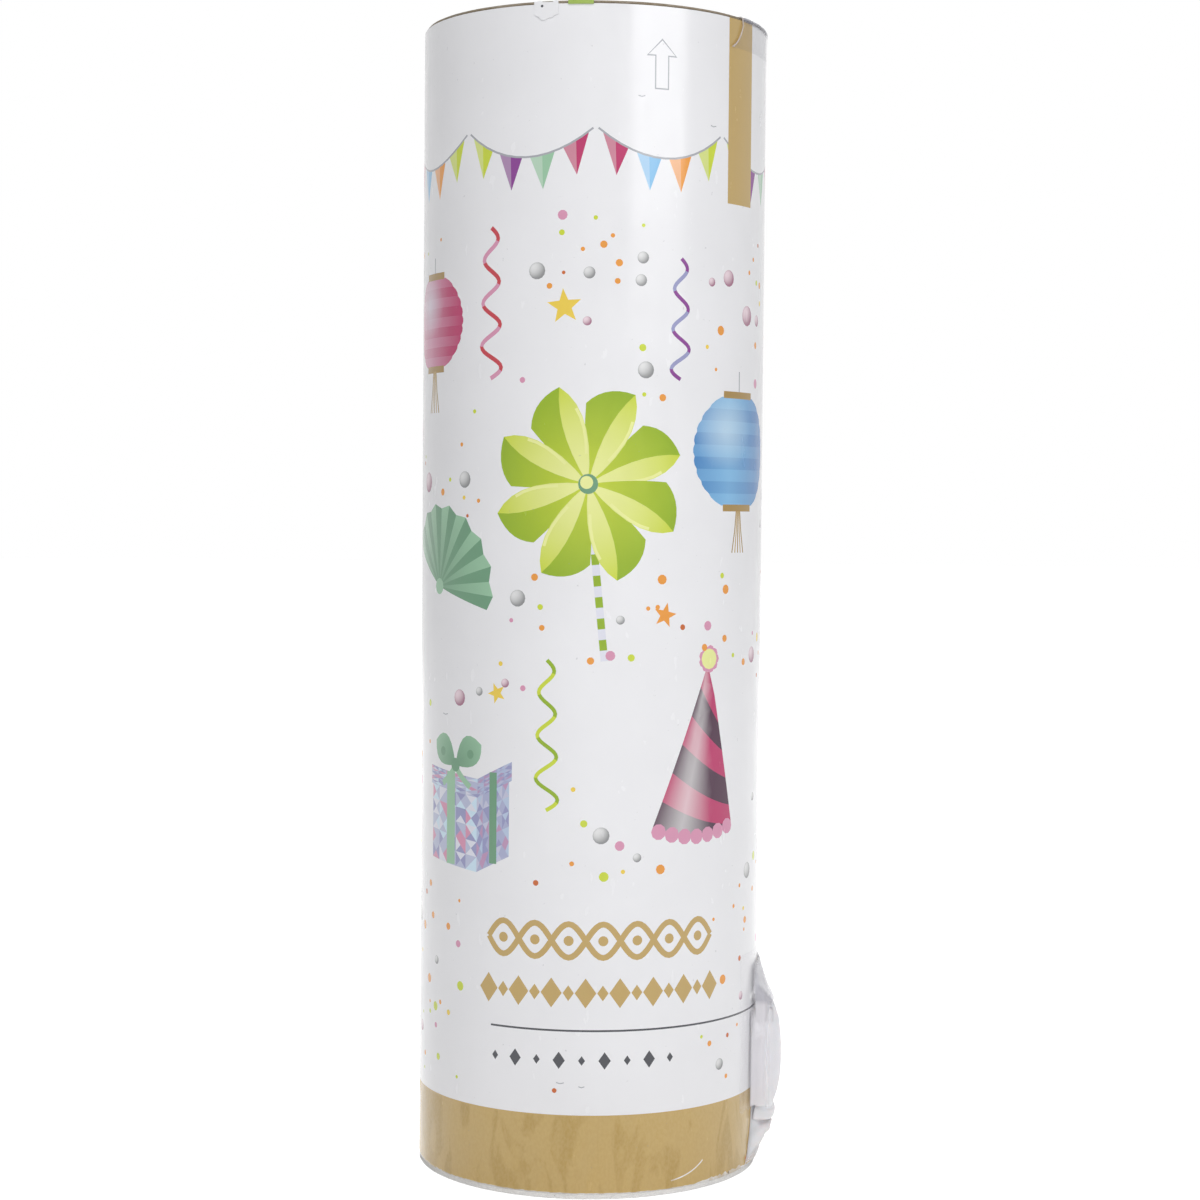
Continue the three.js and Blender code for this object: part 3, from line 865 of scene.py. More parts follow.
def gift_box(art, u, v, size, seed):
    """A gift wrapped in faceted pearly paper, with a mint ribbon and bow."""
    art.clear(u + size * 0.1, v + size * 0.6, size * 0.95)
    pick = random.Random(seed)
    tints = ["pearl", "lavender", "lilac", "pale_blue", "rose", "lavender"]
    cells = 5

    def facets(corner, across, up, dark):
        def spot(i, j):
            return (corner[0] + across[0] * i / cells + up[0] * j / cells,
                    corner[1] + across[1] * i / cells + up[1] * j / cells)
        for i in range(cells):
            for j in range(cells):
                square = [spot(i, j), spot(i + 1, j), spot(i + 1, j + 1), spot(i, j + 1)]
                middle = spot(i + 0.5, j + 0.5)
                for k in range(4):
                    tint = mixed(INKS[pick.choice(tints)], INKS["lilac"], dark)
                    art.area([square[k], square[(k + 1) % 4], middle], tint)

    side = (size * 0.42, size * 0.2)
    facets((u - size / 2, v), (size * 0.82, -size * 0.08), (0, size * 0.8), 0.0)
    facets((u + size * 0.32, v - size * 0.08), side, (0, size * 0.8), 0.45)
    lid_low = v + size * 0.8
    facets((u - size * 0.54, lid_low), (size * 0.87, -size * 0.085), (0, size * 0.2), 0.15)
    lid_side = (side[0] * 1.05, side[1] * 1.05)
    facets((u + size * 0.33, lid_low - size * 0.085), lid_side, (0, size * 0.2), 0.6)
    knot = (u - size * 0.02, lid_low + size * 0.24)
    ribbon = size * 0.15
    upright = knot[0] - size * 0.08
    beside = u + size * 0.54
    art.line([(upright, v - size * 0.035), (upright, lid_low + size * 0.16)], ribbon, "mint")
    art.line([(beside, v + size * 0.03), (beside, lid_low + size * 0.2)], ribbon * 0.62, "fern")
    for sign in (-1, 1):

        def spot(across, up):
            """A place given by shares of the gift's size from the knot, on this side of the bow."""
            return (knot[0] + sign * size * across, knot[1] + size * up)

        far = spot(0.4, 0.24)
        loop = bent(knot, spot(0.1, 0.5), far) + bent(far, spot(0.42, -0.08), knot)
        art.area(loop, fading(*knot, size * 0.5, "fern", "mint"))
        art.disc(*spot(0.24, 0.13), size * 0.05, "fern", 10)
        tail = spot(0.24, -0.22)
        art.line(bent(knot, spot(0.05, -0.1), tail, 5) + [tail], ribbon * 0.45, "mint")
    art.disc(*knot, size * 0.075, "fern", 12)


def paper_fan(art, u, v, radius, start, spread, light, dark):
    """A pleated fan that opens over spread degrees, from start degrees."""
    art.clear(u, v, radius * 1.04)
    start, spread = math.radians(start), math.radians(spread)
    flaps = 16
    for k in range(flaps):
        reach = (radius, radius * 0.94) if k % 2 else (radius * 0.94, radius)
        corners = [polar(u, v, reach[i], start + spread * (k + i) / flaps) for i in (0, 1)]
        shade = fading(u, v, radius, dark, light, 0.7) if k % 2 else dark
        art.area([(u, v)] + corners, shade)
    art.disc(u, v, radius * 0.1, light, 12)


def bunting(art, left, right, height, sag, paints):
    """One span of a garland of pennants."""
    count = len(paints)

    def cord(share):
        return (left + (right - left) * share, height - sag * 4 * share * (1 - share))

    for k, name in enumerate(paints):
        near, far = cord((k + 0.12) / count), cord((k + 0.88) / count)
        width = far[0] - near[0]
        tip = ((near[0] + far[0]) / 2 + 0.2, (near[1] + far[1]) / 2 - width * 1.35)
        middle = ((near[0] + far[0]) / 2, (near[1] + far[1]) / 2)
        base = INKS[name]
        art.area([near, tip, middle], lighter(base, 0.22))
        art.area([middle, tip, far], base)
    art.line([cord(k / 12) for k in range(13)], 0.4, "line_grey")
    art.clear((left + right) / 2, height - sag - 4, 8)


def wave(art, u, v, length, swing, turns, width, front, back):
    """A thin paper streamer that winds down the label."""
    steps = round(turns * 16)
    route = []
    for k in range(steps + 1):
        t = k / steps
        route.append((u + swing * math.sin(math.tau * turns * t) * (0.6 + 0.4 * t), v - length * t))
    art.line(route, width, lambda k: front if math.cos(math.tau * turns * k / steps) > 0 else back)
    for k in range(9):
        art.clear(u, v - length * k / 8, swing + 1.6)


def shaded_ball(art, u, v, radius, name="grey"):
    """A small paper ball, lit from the upper left."""
    base = INKS[name]

    def colour(x, y):
        du, dv = (x - u) / radius, (y - v) / radius
        up = math.sqrt(max(0.0, 1 - du * du - dv * dv))
        light = max(0.0, -0.42 * du + 0.5 * dv + 0.75 * up)
        return mixed(darker(base, 0.45), lighter(base, 0.6), light ** 1.2)

    for share in (1.0, 0.82, 0.58, 0.3):
        art.disc(u, v, radius * share, colour, 14)


def star(art, u, v, radius, turn, paint):
    outline = [polar(u, v, radius * (0.42 if k % 2 else 1), turn + math.pi * k / 5) for k in range(10)]
    art.area(outline, paint)


def up_arrow(art, u, v, width, height):
    """A thin outlined arrow that says which way is up."""
    for inset, paint in ((0.0, "line_grey"), (0.26, PAPER_WHITE)):
        half, shaft, head = width / 2 - inset * 1.6, width * 0.23 - inset, height * 0.35
        low, high = v - height / 2 + inset, v + height / 2 - inset * 1.5
        shoulder = v + height / 2 - head + inset
        art.area([(u - shaft, low), (u + shaft, low), (u + shaft, shoulder), (u + half, shoulder), (u, high),
                  (u - half, shoulder), (u - shaft, shoulder)], paint)


def gold_border(art, left, right, low, high):
    """Two rows of plain gold ornament: a braid of two waves with a dot in each eye, and lozenges below it."""
    stroke = 1.2
    tall = (high - low) * 0.44
    swing = tall / 2 - stroke / 2
    eyes = 7
    steps = eyes * 10
    for sign in (1, -1):
        route = []
        for k in range(steps + 1):
            share = k / steps
            v = high - tall / 2 + sign * swing * math.sin(math.pi * eyes * share)
            route.append((left + (right - left) * share, v))
        art.line(route, stroke, "gold")
    pitch = (right - left) / eyes
    for k in range(eyes):
        art.disc(left + pitch * (k + 0.5), high - tall / 2, stroke * 0.85, "gold", 14)
    for k in range(eyes * 2 + 1):
        half = tall * (0.2 if k % 2 else 0.38)
        u = left + pitch * k / 2
        v = low + tall * 0.45
        art.lozenge(u, v, half * 0.72, half, "gold")
    for aside in (-12, 12):
        art.clear((left + right) / 2 + aside, (low + high) / 2, 14)


def confetti(art, count, seed):
    """Dots scattered over the free white of the label."""
    pick = random.Random(seed)
    names = ["orange"] * 5 + ["yellow", "lime", "lime", "rose", "rust"]
    ball_names = ["grey", "grey", "grey", "rose"]
    largest_dot = 1.05
    dots = []

    def free_spot(margin, high, sizes, share, gap):
        """A random place and radius, or None where something lies there already."""
        u = pick.uniform(-HALF_ROUND + margin, HALF_ROUND - margin)
        v = pick.uniform(BAND_TOP + margin, high)
        radius = pick.choice(sizes)
        taken = art.keep_clear + dots
        if any(math.hypot(u - x, v - y) < r * share + radius + gap for x, y, r in taken):
            return None
        return (u, v, radius)

    for _ in range(count * 6):
        if len(dots) >= count:
            break
        found = free_spot(margin=3, high=196, sizes=[0.38, 0.45, 0.5, 0.6, 0.75, 1.0], share=0.94, gap=0.5)
        if found:
            dots.append(found)
            art.disc(*found, pick.choice(names), 10)
    for _ in range(count * 2):
        found = free_spot(margin=4, high=190, sizes=[0.9, 1.2, 1.7, 2.1], share=1.0, gap=1.5)
        if not found:
            continue
        if len([1 for dot in dots if dot[2] > largest_dot]) > count // 5:
            break
        u, v, radius = found
        dots.append((u, v, radius + 0.1))
        shaded_ball(art, u, v, radius, pick.choice(ball_names))


def label_artwork():
    """All that is printed on the label, from the lowest to the uppermost."""
    art = Artwork()
    art.box(-HALF_ROUND, HALF_ROUND, LABEL_LOW, BAND_TOP, "gold", 1.5)
    garland(art, spans=8, height=213)
    front_motifs(art)
    back_motifs(art)
    gold_border(art, left=-21.5, right=27.0, low=38.0, high=56.0)
    rule_and_lozenges(art, left=-20.9, right=78)
    up_arrow(art, 13.3, 226, width=6.6, height=10)
    stripe_left, stripe_right, stripe_low = 30.2, 39.2, 200
    art.box(stripe_left, stripe_right, stripe_low, RIM_HEIGHT, "gold")
    wear_marks(art)
    confetti(art, count=300, seed=11)
    return art.areas


def garland(art, spans, height):
    """Pennants all round the label."""
    colours = ["magenta", "sky", "orange", "lime", "purple", "mint"]
    reach = 2 * HALF_ROUND / spans
    for k in range(spans):
        left = -HALF_ROUND + reach * k
        paints = [colours[(3 * k + i) % len(colours)] for i in range(4)]
        bunting(art, left + 0.5, left + reach - 0.5, height, sag=5.5, paints=paints)


def rule_and_lozenges(art, left, right):
    """The thin rule above the gold band, with a row of small lozenges under it."""
    half_thick = 0.2
    art.box(left, right, RULE_HEIGHT - half_thick, RULE_HEIGHT + half_thick, "dark_grey")
    first_u, pitch = -19.8, 4.6
    for k in range(9):
        half = 1.25 if k % 2 else 0.7
        art.lozenge(first_u + k * pitch, RULE_HEIGHT - 6, half, half * 1.4, "dark_grey")
    for u, radius in ((0, 9), (-14, 8), (14, 8)):
        art.clear(u, RULE_HEIGHT - 4, radius)


def front_motifs(art):
    pinwheel(art, -1, 143, radius=20, blades=8, turn=0.3)
    lantern(art, 35, 150, width=27, height=22, near="sky", far="blue", pale="pale_blue")
    lantern(art, -41, 176, width=22, height=18, near="rose", far="magenta", pale="pearl")
    party_hat(art, 23, 74, width=21, height=34, lean=3, first="magenta", second="plum", trim="rose")
    gift_box(art, -31, 66, size=19, seed=5)
    paper_fan(art, -38, 122, radius=17, start=-16, spread=165, light="mint", dark="fern")
    wave(art, -22, 194, length=30, swing=2.6, turns=3.5, width=0.9, front="red", back="rose")
    wave(art, 18, 188, length=24, swing=2.2, turns=3, width=0.8, front="purple", back="lilac")
    wave(art, -9, 108, length=30, swing=2.4, turns=3.5, width=0.8, front="leaf", back="lime")
    star(art, -6, 178, radius=3.6, turn=0.4, paint="yellow")
    star(art, 15, 117, radius=2.6, turn=0.1, paint="orange")
    star(art, -20, 101, radius=2.2, turn=0.7, paint="yellow")


def back_motifs(art):
    lantern(art, -92, 160, width=27, height=22, near="yellow", far="orange", pale="pale_lime")
    lantern(art, 98, 172, width=22, height=18, near="lilac", far="purple", pale="pearl")
    pinwheel(art, 76, 120, radius=20, blades=8, turn=0.1)
    party_hat(art, -68, 92, width=21, height=34, lean=-3, first="sky", second="blue", trim="yellow")
    gift_box(art, 96, 62, size=18, seed=9)
    paper_fan(art, -66, 150, radius=15, start=10, spread=160, light="rose", dark="magenta")
    paper_fan(art, 72, 70, radius=14, start=20, spread=160, light="yellow", dark="orange")
    wave(art, -104, 128, length=30, swing=2.6, turns=3.5, width=0.9, front="blue", back="sky")
    wave(art, 104, 132, length=28, swing=2.4, turns=3.5, width=0.9, front="red", back="rose")
    star(art, -84, 118, radius=3.2, turn=0.3, paint="yellow")
    star(art, 84, 92, radius=2.6, turn=0.6, paint="orange")
    empty_panel(art, left=-106, right=-64, low=24, high=72)


def empty_panel(art, left, right, low, high):
    """A thin gold frame round an empty white panel."""
    for inset, paint in ((0.0, "gold"), (0.5, PAPER_WHITE)):
        art.box(left + inset, right - inset, low + inset, high - inset, paint)
    for u in (left + 11, right - 12):
        art.clear(u, (low + high) / 2, 18)


def wear_marks(art):
    """A scratch and a spot in the gold band, its torn lower edge, and a few short scuffs on the white."""
    scratch_end = (25.5, 5.9)
    art.line(bent((17.5, 2.8), (22.6, 3.4), scratch_end, 9) + [scratch_end], 0.26, PAPER_WHITE)
    art.disc(42.0, 2.7, 0.35, "rust", 8)
    pick = random.Random(21)
    steps = 150
    left, right = -55.0, 44.0
    edge = []
    for k in range(steps + 1):
        u = left + (right - left) * k / steps
        worn = 0.12 + 0.5 * eased(u, 22, 30) * (1 - eased(u, 40, 43)) + 0.12 * eased(u, -30, -42)
        edge.append((u, LABEL_LOW + worn * pick.uniform(0.5, 1.5)))
    art.area([(left, LABEL_LOW), (right, LABEL_LOW)] + edge[::-1], "torn_white")
    art.disc(33.9, LABEL_LOW + 0.35, 0.3, "dark_grey", 8)
    scuffs = ((-6.5, 23.5, 1.6), (-2.0, 22.8, 1.2), (25, 215, 1.5), (8.4, 219.6, 1.4), (-36, 96, 1.8))
    for u, v, length in scuffs:
        art.line([(u, v), (u + length / 2, v - 0.2), (u + length, v)], 0.18, "line_grey")


# Tube, label, foot and lid

def wall_outline(low, high, step):
    """The unrolled wall of the tube or label, with the gap for the neck in its lower edge."""
    columns = round(2 * HALF_ROUND / step)
    notch = arc_to(0)
    half = math.asin(NOTCH_WIDTH / 2 / BODY_RADIUS) * BODY_RADIUS
    lower = [-HALF_ROUND + 2 * HALF_ROUND * k / columns for k in range(columns)]
    lower_edge = [(u, low) for u in lower if u < notch - half - 0.4]
    lower_edge += [(notch - half, low), (notch - half, NOTCH_TOP)]
    lower_edge += [(notch - half + 2 * half * k / 12, NOTCH_TOP) for k in range(1, 12)]
    lower_edge += [(notch + half, NOTCH_TOP), (notch + half, low)]
    lower_edge += [(u, low) for u in lower if u > notch + half + 0.4]
    rows = 60
    rising = [(HALF_ROUND, low + (high - low) * k / rows) for k in range(rows + 1)]
    upper = [(-u, high) for u in lower[1:]]
    falling = [(-HALF_ROUND, high - (high - low) * k / rows) for k in range(rows)]
    return lower_edge[1:] + rising + upper + falling + [lower_edge[0]]


def printed_label():
    lap = 0.12
    lap_reach = 10.0

    def outer(u, v):
        return BODY_RADIUS - lap * max(0.0, 1 - (HALF_ROUND - u) / lap_reach) ** 0.5

    outline = wall_outline(LABEL_LOW, RIM_HEIGHT, 1.5)
    made = wrapped("label_sleeve", outline, [], outer, lambda u, v: BODY_RADIUS - LABEL_THICKNESS, (1.6, 3.2),
                   LABEL, label_artwork(), full_round=True)
    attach(made, "shell")
    stand_for("printed_label")


def card_tube():
    low = low_corner("outer_tube").z
    high = high_corner("outer_tube").z
    outline = wall_outline(low, high, 2.5)
    made = wrapped("card_tube", outline, [], lambda u, v: TUBE_RADIUS, lambda u, v: BORE_RADIUS, (2.5, 6.0),
                   winding_look("tube_card", ink("a39683")), full_round=True)
    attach(made, "shell")
    stand_for("outer_tube")


def card_disc(name, node, look, body, ragged, seed, inset=0.0):
    """A disc cut from board: a crushed, slightly ragged edge in three plies, and softened rims."""
    radius = high_corner(node).y - inset
    low = low_corner(node).z
    high = high_corner(node).z
    plies = 3
    thick = high - low
    profile = [(0, low), (radius * 0.5, low), (radius - 1.2, low), (radius - 0.25, low)]
    for k in range(plies * 2 + 1):
        share = (k + 0.5) / (plies * 2 + 1)
        groove = 0.07 if k % 2 else 0.0
        profile.append((radius - groove, low + thick * share))
    profile += [(radius - 0.25, high), (radius - 1.2, high), (radius * 0.5, high), (0, high)]

    def wobble(angle, at_radius, height):
        if at_radius < radius - 0.5:
            return 0.0
        spot = Vector((math.cos(angle) * 9 + seed, math.sin(angle) * 9, height * 1.4))
        fine = Vector((math.cos(angle) * 40 + seed, math.sin(angle) * 40, height * 3))
        return -ragged * (0.5 + 0.5 * noise.noise(spot)) - ragged * 0.7 * abs(noise.noise(fine))

    return piece(name, turned(profile, 288, wobble), look, body, node)


def end_boards():
    """The boards that close the tube: the foot and the lid."""
    # The foot keeps shaded_below at 0, which paints a faint shadow line along its lowest edge.
    foot = board_look("foot_board", ink("f4f3f2"), ink("d2d1d0"), ink("77716b"))
    card_disc("foot_board", "bottom_disc", foot, "shell", ragged=0.16, seed=3.0)
    # The lid's edge gets a painted shadow line below RIM_HEIGHT + 0.25, where it meets the label's top.
    lid = board_look("lid_board", ink("ab9e8b"), ink("78694f"), ink("4e4130"), RIM_HEIGHT + 0.25)
    card_disc("lid_board", "lid_disc", lid, "lid", ragged=0.12, seed=8.0, inset=0.42)


def outward(path, k):
    """The direction away from what a path of (radius, height) points lies on, at its point k."""
    before = path[max(0, k - 1)]
    after = path[min(len(path) - 1, k + 1)]
    along = Vector((after[0] - before[0], after[1] - before[1])).normalized()
    return Vector((-along.y, along.x))


def paper_tab(azimuth, width, path, thickness, look, node):
    """A thin paper strip laid over the lid's edge, width mm wide round the wall."""
    half = width / 2 / BODY_RADIUS
    steps = 10
    rings = []
    for i in range(steps + 1):
        angle = azimuth - half + 2 * half * i / steps
        inner = [Vector(p) for p in path]
        outer = [p + outward(path, k) * thickness for k, p in enumerate(inner)]
        rings.append([around(p.x, angle, p.y) for p in inner + outer[::-1]])
    return piece("lid_tab_paper", loft(rings), look, "lid", node)


def over_edge(reach, drop, top, outside, rounding=0.35):
    """A path from the lid's top, round its edge and down the wall."""
    path = [(outside - reach + (reach - rounding) * k / 5, top) for k in range(6)]
    for k in range(1, 6):
        turn = math.pi / 2 * k / 6
        path.append((outside + rounding * (math.sin(turn) - 1), top + rounding * (math.cos(turn) - 1)))
    levels = max(2, round(drop / 0.8))
    path += [(outside, top - rounding - (drop - rounding) * k / levels) for k in range(levels + 1)]
    return path


def lid_tabs():
    outside = BODY_RADIUS + 0.08
    green = math.radians(-100)
    path = over_edge(10, 0.9, LID_TOP + 0.05, outside)
    green_paper = paper_look("green_paper", ink("a3bd58"), 1.8, 0.35, 0.05)
    paper_tab(green, 5, path, 0.22, green_paper, "lid_tab_green")
    tape_tab(LID_TOP, outside)


def tape_tab(top, outside):
    """A piece of clear tape over the lid's edge. Its near edge swings out and curls up on the way down."""
    drop = 6.5
    reach = 9.0
    film = 0.12
    near = math.radians(-40)
    far = math.radians(-8.9)
    swing = 7.3
    centre_angle = near - swing / BODY_RADIUS
    centre = around(outside, centre_angle, top)
    path = over_edge(reach, drop + 0.05, top + 0.05, outside)
    columns = 24
    outer = []
    inner = []
    for i in range(columns + 1):
        share = i / columns
        for k, (radius, height) in enumerate(path):
            fallen = max(0.0, top - height)
            start = centre_angle + math.sqrt(swing ** 2 - fallen ** 2) / BODY_RADIUS
            angle = start + (far - start) * share
            curl = 0.25 * (1 - eased(share, 0.0, 0.05)) * eased(fallen, 0.5, 2)
            wrinkle = 0.05 * (1 + math.sin(height * 1.9 + share * 31)) * (1 - eased(fallen, 2, 3))
            lift = (curl + wrinkle) * eased(fallen, 0.0, 0.6)
            for grid, off in ((outer, lift + film), (inner, lift)):
                spot = Vector((radius, height)) + outward(path, k) * off
                grid.append(around(spot.x, angle, spot.y))
    points, faces = doubled_grid(outer, inner, columns, len(path) - 1)
    look = tab_film_look(RIM_HEIGHT, centre, swing)
    piece("lid_tab_film", (points, faces), look, "lid", "lid_tab_clear", 60)


def torn_rim():
    """A scrap of the label, torn and pushed up over the lid's edge, with a speck of dirt on it."""
    pick = random.Random(4)
    left, right = -12.6, -7.6
    low, high = 233.6, 237.95
    outline = []
    for k in range(13):
        share = k / 12
        torn = low + 1.6 * abs(2 * share - 1) + pick.uniform(0, 0.7)
        outline.append((left + (right - left) * share, torn))
    for k in range(9):
        outline.append((right - (right - left) * k / 8, high - pick.uniform(0, 0.35)))
    dot = [polar(-10.9, 236.9, 0.28, math.tau * k / 8) for k in range(8)]

    def outer(u, v):
        return BODY_RADIUS + 0.2 + 0.1 * math.sin(u * 2.1) * (v - low) / (high - low)

    made = wrapped("torn_label_scrap", outline, [], outer, lambda u, v: outer(u, v) - 0.12, (0.5, 0.5), LABEL,
                   [(dot, INKS["dark_grey"])])
    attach(made, "shell")


# Neck and tape

NECK_HALF_WIDTH = 13.4
ROOT_HALF_WIDTH = 9.2
FOLD_HALF_WIDTH = 12.8
WALL_FACE = BODY_RADIUS + 0.35
INNER_THICK = 1.7
OUTER_FACE = BODY_RADIUS + 2.5
FOLD_TOP = high_corner("balloon_neck_inner").z
MOUTH_LOW = low_corner("balloon_neck_outer").z + 1.5
NARROWS_FROM = FOLD_TOP - 11
WRAP_RADIUS = 37.5
STRAIGHT = 400.0
JOINTS = {row["name"]: row for row in frame["record"]["behaviour"]["joints"]}


def rubber_skin(name, rings, smooth_below=40.0):
    """A latex piece through rings of points."""
    return object_from(name, mesh_from(name, *loft(rings)), RUBBER, smooth_below)


def layer_shape(z):
    """The half width of a folded layer at a height and the radius that it bends round the wall with: towards
    the fold it narrows and straightens."""
    share = eased(z, NARROWS_FROM, FOLD_TOP - 1)
    bend = 1 / WRAP_RADIUS + (1 / STRAIGHT - 1 / WRAP_RADIUS) * share
    return NECK_HALF_WIDTH + (FOLD_HALF_WIDTH - NECK_HALF_WIDTH) * share, 1 / bend


def layer_section(face, normal, half_width, thick, wrap_radius, aside=0.0, pucker=0.0, tuck=0.0, rise=0.0,
                  slope=0.6):
    """One ring of a flattened rubber tube that is bent round the wall. face is the middle of its flat side,
    its other side is domed, and gently so where slope is large. tuck draws its two edges in towards the
    wall, and rise lifts them."""
    sides = 48
    ring = []
    for k in range(sides):
        turn = math.tau * k / sides
        share = math.cos(turn)
        across = half_width * share
        crease = noise.noise(Vector((across * 0.5, face.x * 0.3, face.z * 0.8)))
        dome = thick * max(0.0, math.sin(turn)) ** slope * (1 + pucker * crease)
        off = dome - tuck * share ** 6
        bend = across / wrap_radius
        x = face.x + off * normal.x - wrap_radius * (1 - math.cos(bend))
        lifted = face.z + off * normal.z + rise * share ** 4
        place = Vector((x, wrap_radius * math.sin(bend) + aside))
        clear = BODY_RADIUS + (0.15 if math.sin(turn) > 0 else 0.03)
        if face.x > BODY_RADIUS and place.length < clear:
            place = place.normalized() * clear
        ring.append((place.x, place.y, lifted))
    return ring


def neck_lower():
    """From inside the foot, out through the gap and up the wall to the fold. Outside, it spreads past the
    gap's corners, hangs down to the foot and lies pressed to the wall at its edges."""
    rise_radius = 1.6
    skirt_low = LABEL_LOW + 0.2
    spread = 3.6
    press = 1.2
    start = low_corner("balloon_neck_root").x + 1
    thick = INNER_THICK
    level = LABEL_LOW + 0.12 + thick
    rings = []
    down = Vector((0, 0, -1))
    for k in range(8):
        x = start + (WALL_FACE - rise_radius - start) * k / 7
        rings.append((Vector((x, 0, level)), down, ROOT_HALF_WIDTH, thick, STRAIGHT, 0.0, 0.3))
    centre = Vector((WALL_FACE - rise_radius, 0, level + rise_radius))
    top = FOLD_TOP - 0.8
    mouth = MOUTH_LOW
    path = []
    for k in range(1, 10):
        turn = math.pi / 2 * k / 10
        normal = Vector((math.sin(turn), 0, -math.cos(turn)))
        path.append((centre + normal * rise_radius, normal, k / 10))
    levels = 60
    for k in range(levels + 1):
        z = centre.z + (top - centre.z) * k / levels
        path.append((Vector((WALL_FACE, 0, z)), Vector((1, 0, 0)), 1.0))
    for face, normal, risen in path:
        z = face.z
        width, wrap = layer_shape(z)
        outside = eased(risen, 0.0, 0.5)
        skirt = 1 - eased(z, centre.z, mouth + 2.5)
        width = ROOT_HALF_WIDTH + (width + spread * skirt - ROOT_HALF_WIDTH) * outside
        bend = 1 / STRAIGHT + (1 / wrap - 1 / STRAIGHT) * risen
        puff = 1.7 * eased(z, centre.z, mouth - 0.5) * (1 - eased(z, mouth - 0.5, mouth + 0.1))
        flat_foot = 0.9 * outside * (1 - eased(z, centre.z, 6.5))
        behind_rim = 0.5 * eased(z, mouth - 0.6, mouth + 0.1) * (1 - eased(z, mouth + 4, mouth + 7))
        depth = thick + puff - flat_foot - behind_rim - 0.5 * eased(z, NARROWS_FROM, FOLD_TOP)
        aside = -1.0 * eased(risen, 0.3, 1.0) * (1 - eased(z, mouth + 1, mouth + 8))
        pucker = 0.35 * (1 - eased(z, mouth + 1, mouth + 7))
        pressed = 1 - eased(z, mouth + 3, mouth + 7)
        tuck = 0.3 * risen + press * outside * pressed
        hang = (skirt_low - z) * outside * skirt
        slope = 0.6 + 0.8 * outside * (1 - eased(z, mouth, mouth + 3))
        rings.append((face, normal, width, depth, 1 / bend, aside, pucker, tuck, hang, slope))
    made = rubber_skin("balloon_neck_lower", [layer_section(*ring) for ring in rings])
    x, _, z = JOINTS["neck_swing"]["pos_m"]
    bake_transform(made)
    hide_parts("balloon_neck_root", "balloon_neck_inner")


def neck_fold():
    """The bend at the top, where the neck turns back down. It reaches into both layers."""
    half_thick = 0.45
    near = WALL_FACE + 0.15 + half_thick
    far = OUTER_FACE - 0.4 + half_thick
    radius = (far - near) / 2
    middle = (far + near) / 2
    crown = FOLD_TOP - 0.3 - radius
    leg = 3.0
    route = [(near, crown - leg + leg * k / 5, math.pi) for k in range(5)]
    for k in range(13):
        turn = math.pi - math.pi * k / 12
        route.append((middle + radius * math.cos(turn), crown + radius * math.sin(turn), turn))
    route += [(far, crown - leg * k / 5, 0) for k in range(1, 6)]
    rings = []
    for x, z, turn in route:
        normal = Vector((math.cos(turn), 0, math.sin(turn)))
        face = Vector((x, 0, z)) - normal * half_thick
        rings.append(layer_section(face, normal, FOLD_HALF_WIDTH - 0.15, 2 * half_thick, STRAIGHT))
    made = rubber_skin("balloon_neck_fold", rings)
    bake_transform(made)


def neck_upper():
    """The last stretch, folded back down: bulge, groove, rolled rim and the flattened mouth."""
    bottom = MOUTH_LOW
    above_mouth = [
        (0.25, 1.5, 1.02), (0.0, 2.2, 1.03), (0.45, 2.6, 1.035), (1.3, 2.75, 1.04), (2.1, 2.6, 1.035),
        (2.6, 2.1, 1.02), (3.0, 1.85, 1.0), (4.2, 2.2, 1.01), (6.5, 2.7, 1.04), (9.5, 3.1, 1.06),
        (12.5, 3.25, 1.07), (16, 3.1, 1.07), (19, 2.7, 1.05),
    ]
    below_fold = [(4.3, 2.4, 1.04), (2.6, 2.0, 1.03), (1.3, 1.5, 1.02), (0.5, 0.9, 0.99)]
    stations = [(bottom + height, thick, share) for height, thick, share in above_mouth]
    stations += [(FOLD_TOP - depth, thick, share) for depth, thick, share in below_fold]
    facing = Vector((1, 0, 0))
    corner_rise = 1.3
    lower_back = 0.9
    lower_tuck = 1.4
    rings = []
    for z, thick, share in stations:
        width, wrap = layer_shape(z)
        back = 0.4 * eased(z, FOLD_TOP - 6, FOLD_TOP - 2)
        back += lower_back * (1 - eased(z, bottom, bottom + 7))
        tuck = lower_tuck * (1 - 0.5 * eased(z, FOLD_TOP - 3, FOLD_TOP - 0.5))
        rise = corner_rise * (1 - eased(z, bottom + 2, bottom + 9))
        face = Vector((OUTER_FACE - back, 0, z))
        rings.append((face, facing, width * share, thick, wrap + 1, 0.0, 0.12, tuck, rise))
    width, wrap = layer_shape(bottom)
    mouth = [(2.7, 0.24, 0.9), (1.4, 0.4, 0.93), (0.4, 0.76, 0.97)]
    inward = []
    for height, thick, share in mouth:
        face = Vector((OUTER_FACE - lower_back + 1.35 - thick / 2, 0, bottom + height))
        inward.append((face, facing, width * share, thick, wrap + 1, 0.0, 0.0, lower_tuck, corner_rise))
    made = rubber_skin("balloon_neck_upper", [layer_section(*ring) for ring in inward + rings], 60)
    made.modifiers.new("smooth", "SUBSURF").render_levels = 1
    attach(made, "neck_mouth")
    stand_for("balloon_neck_outer")


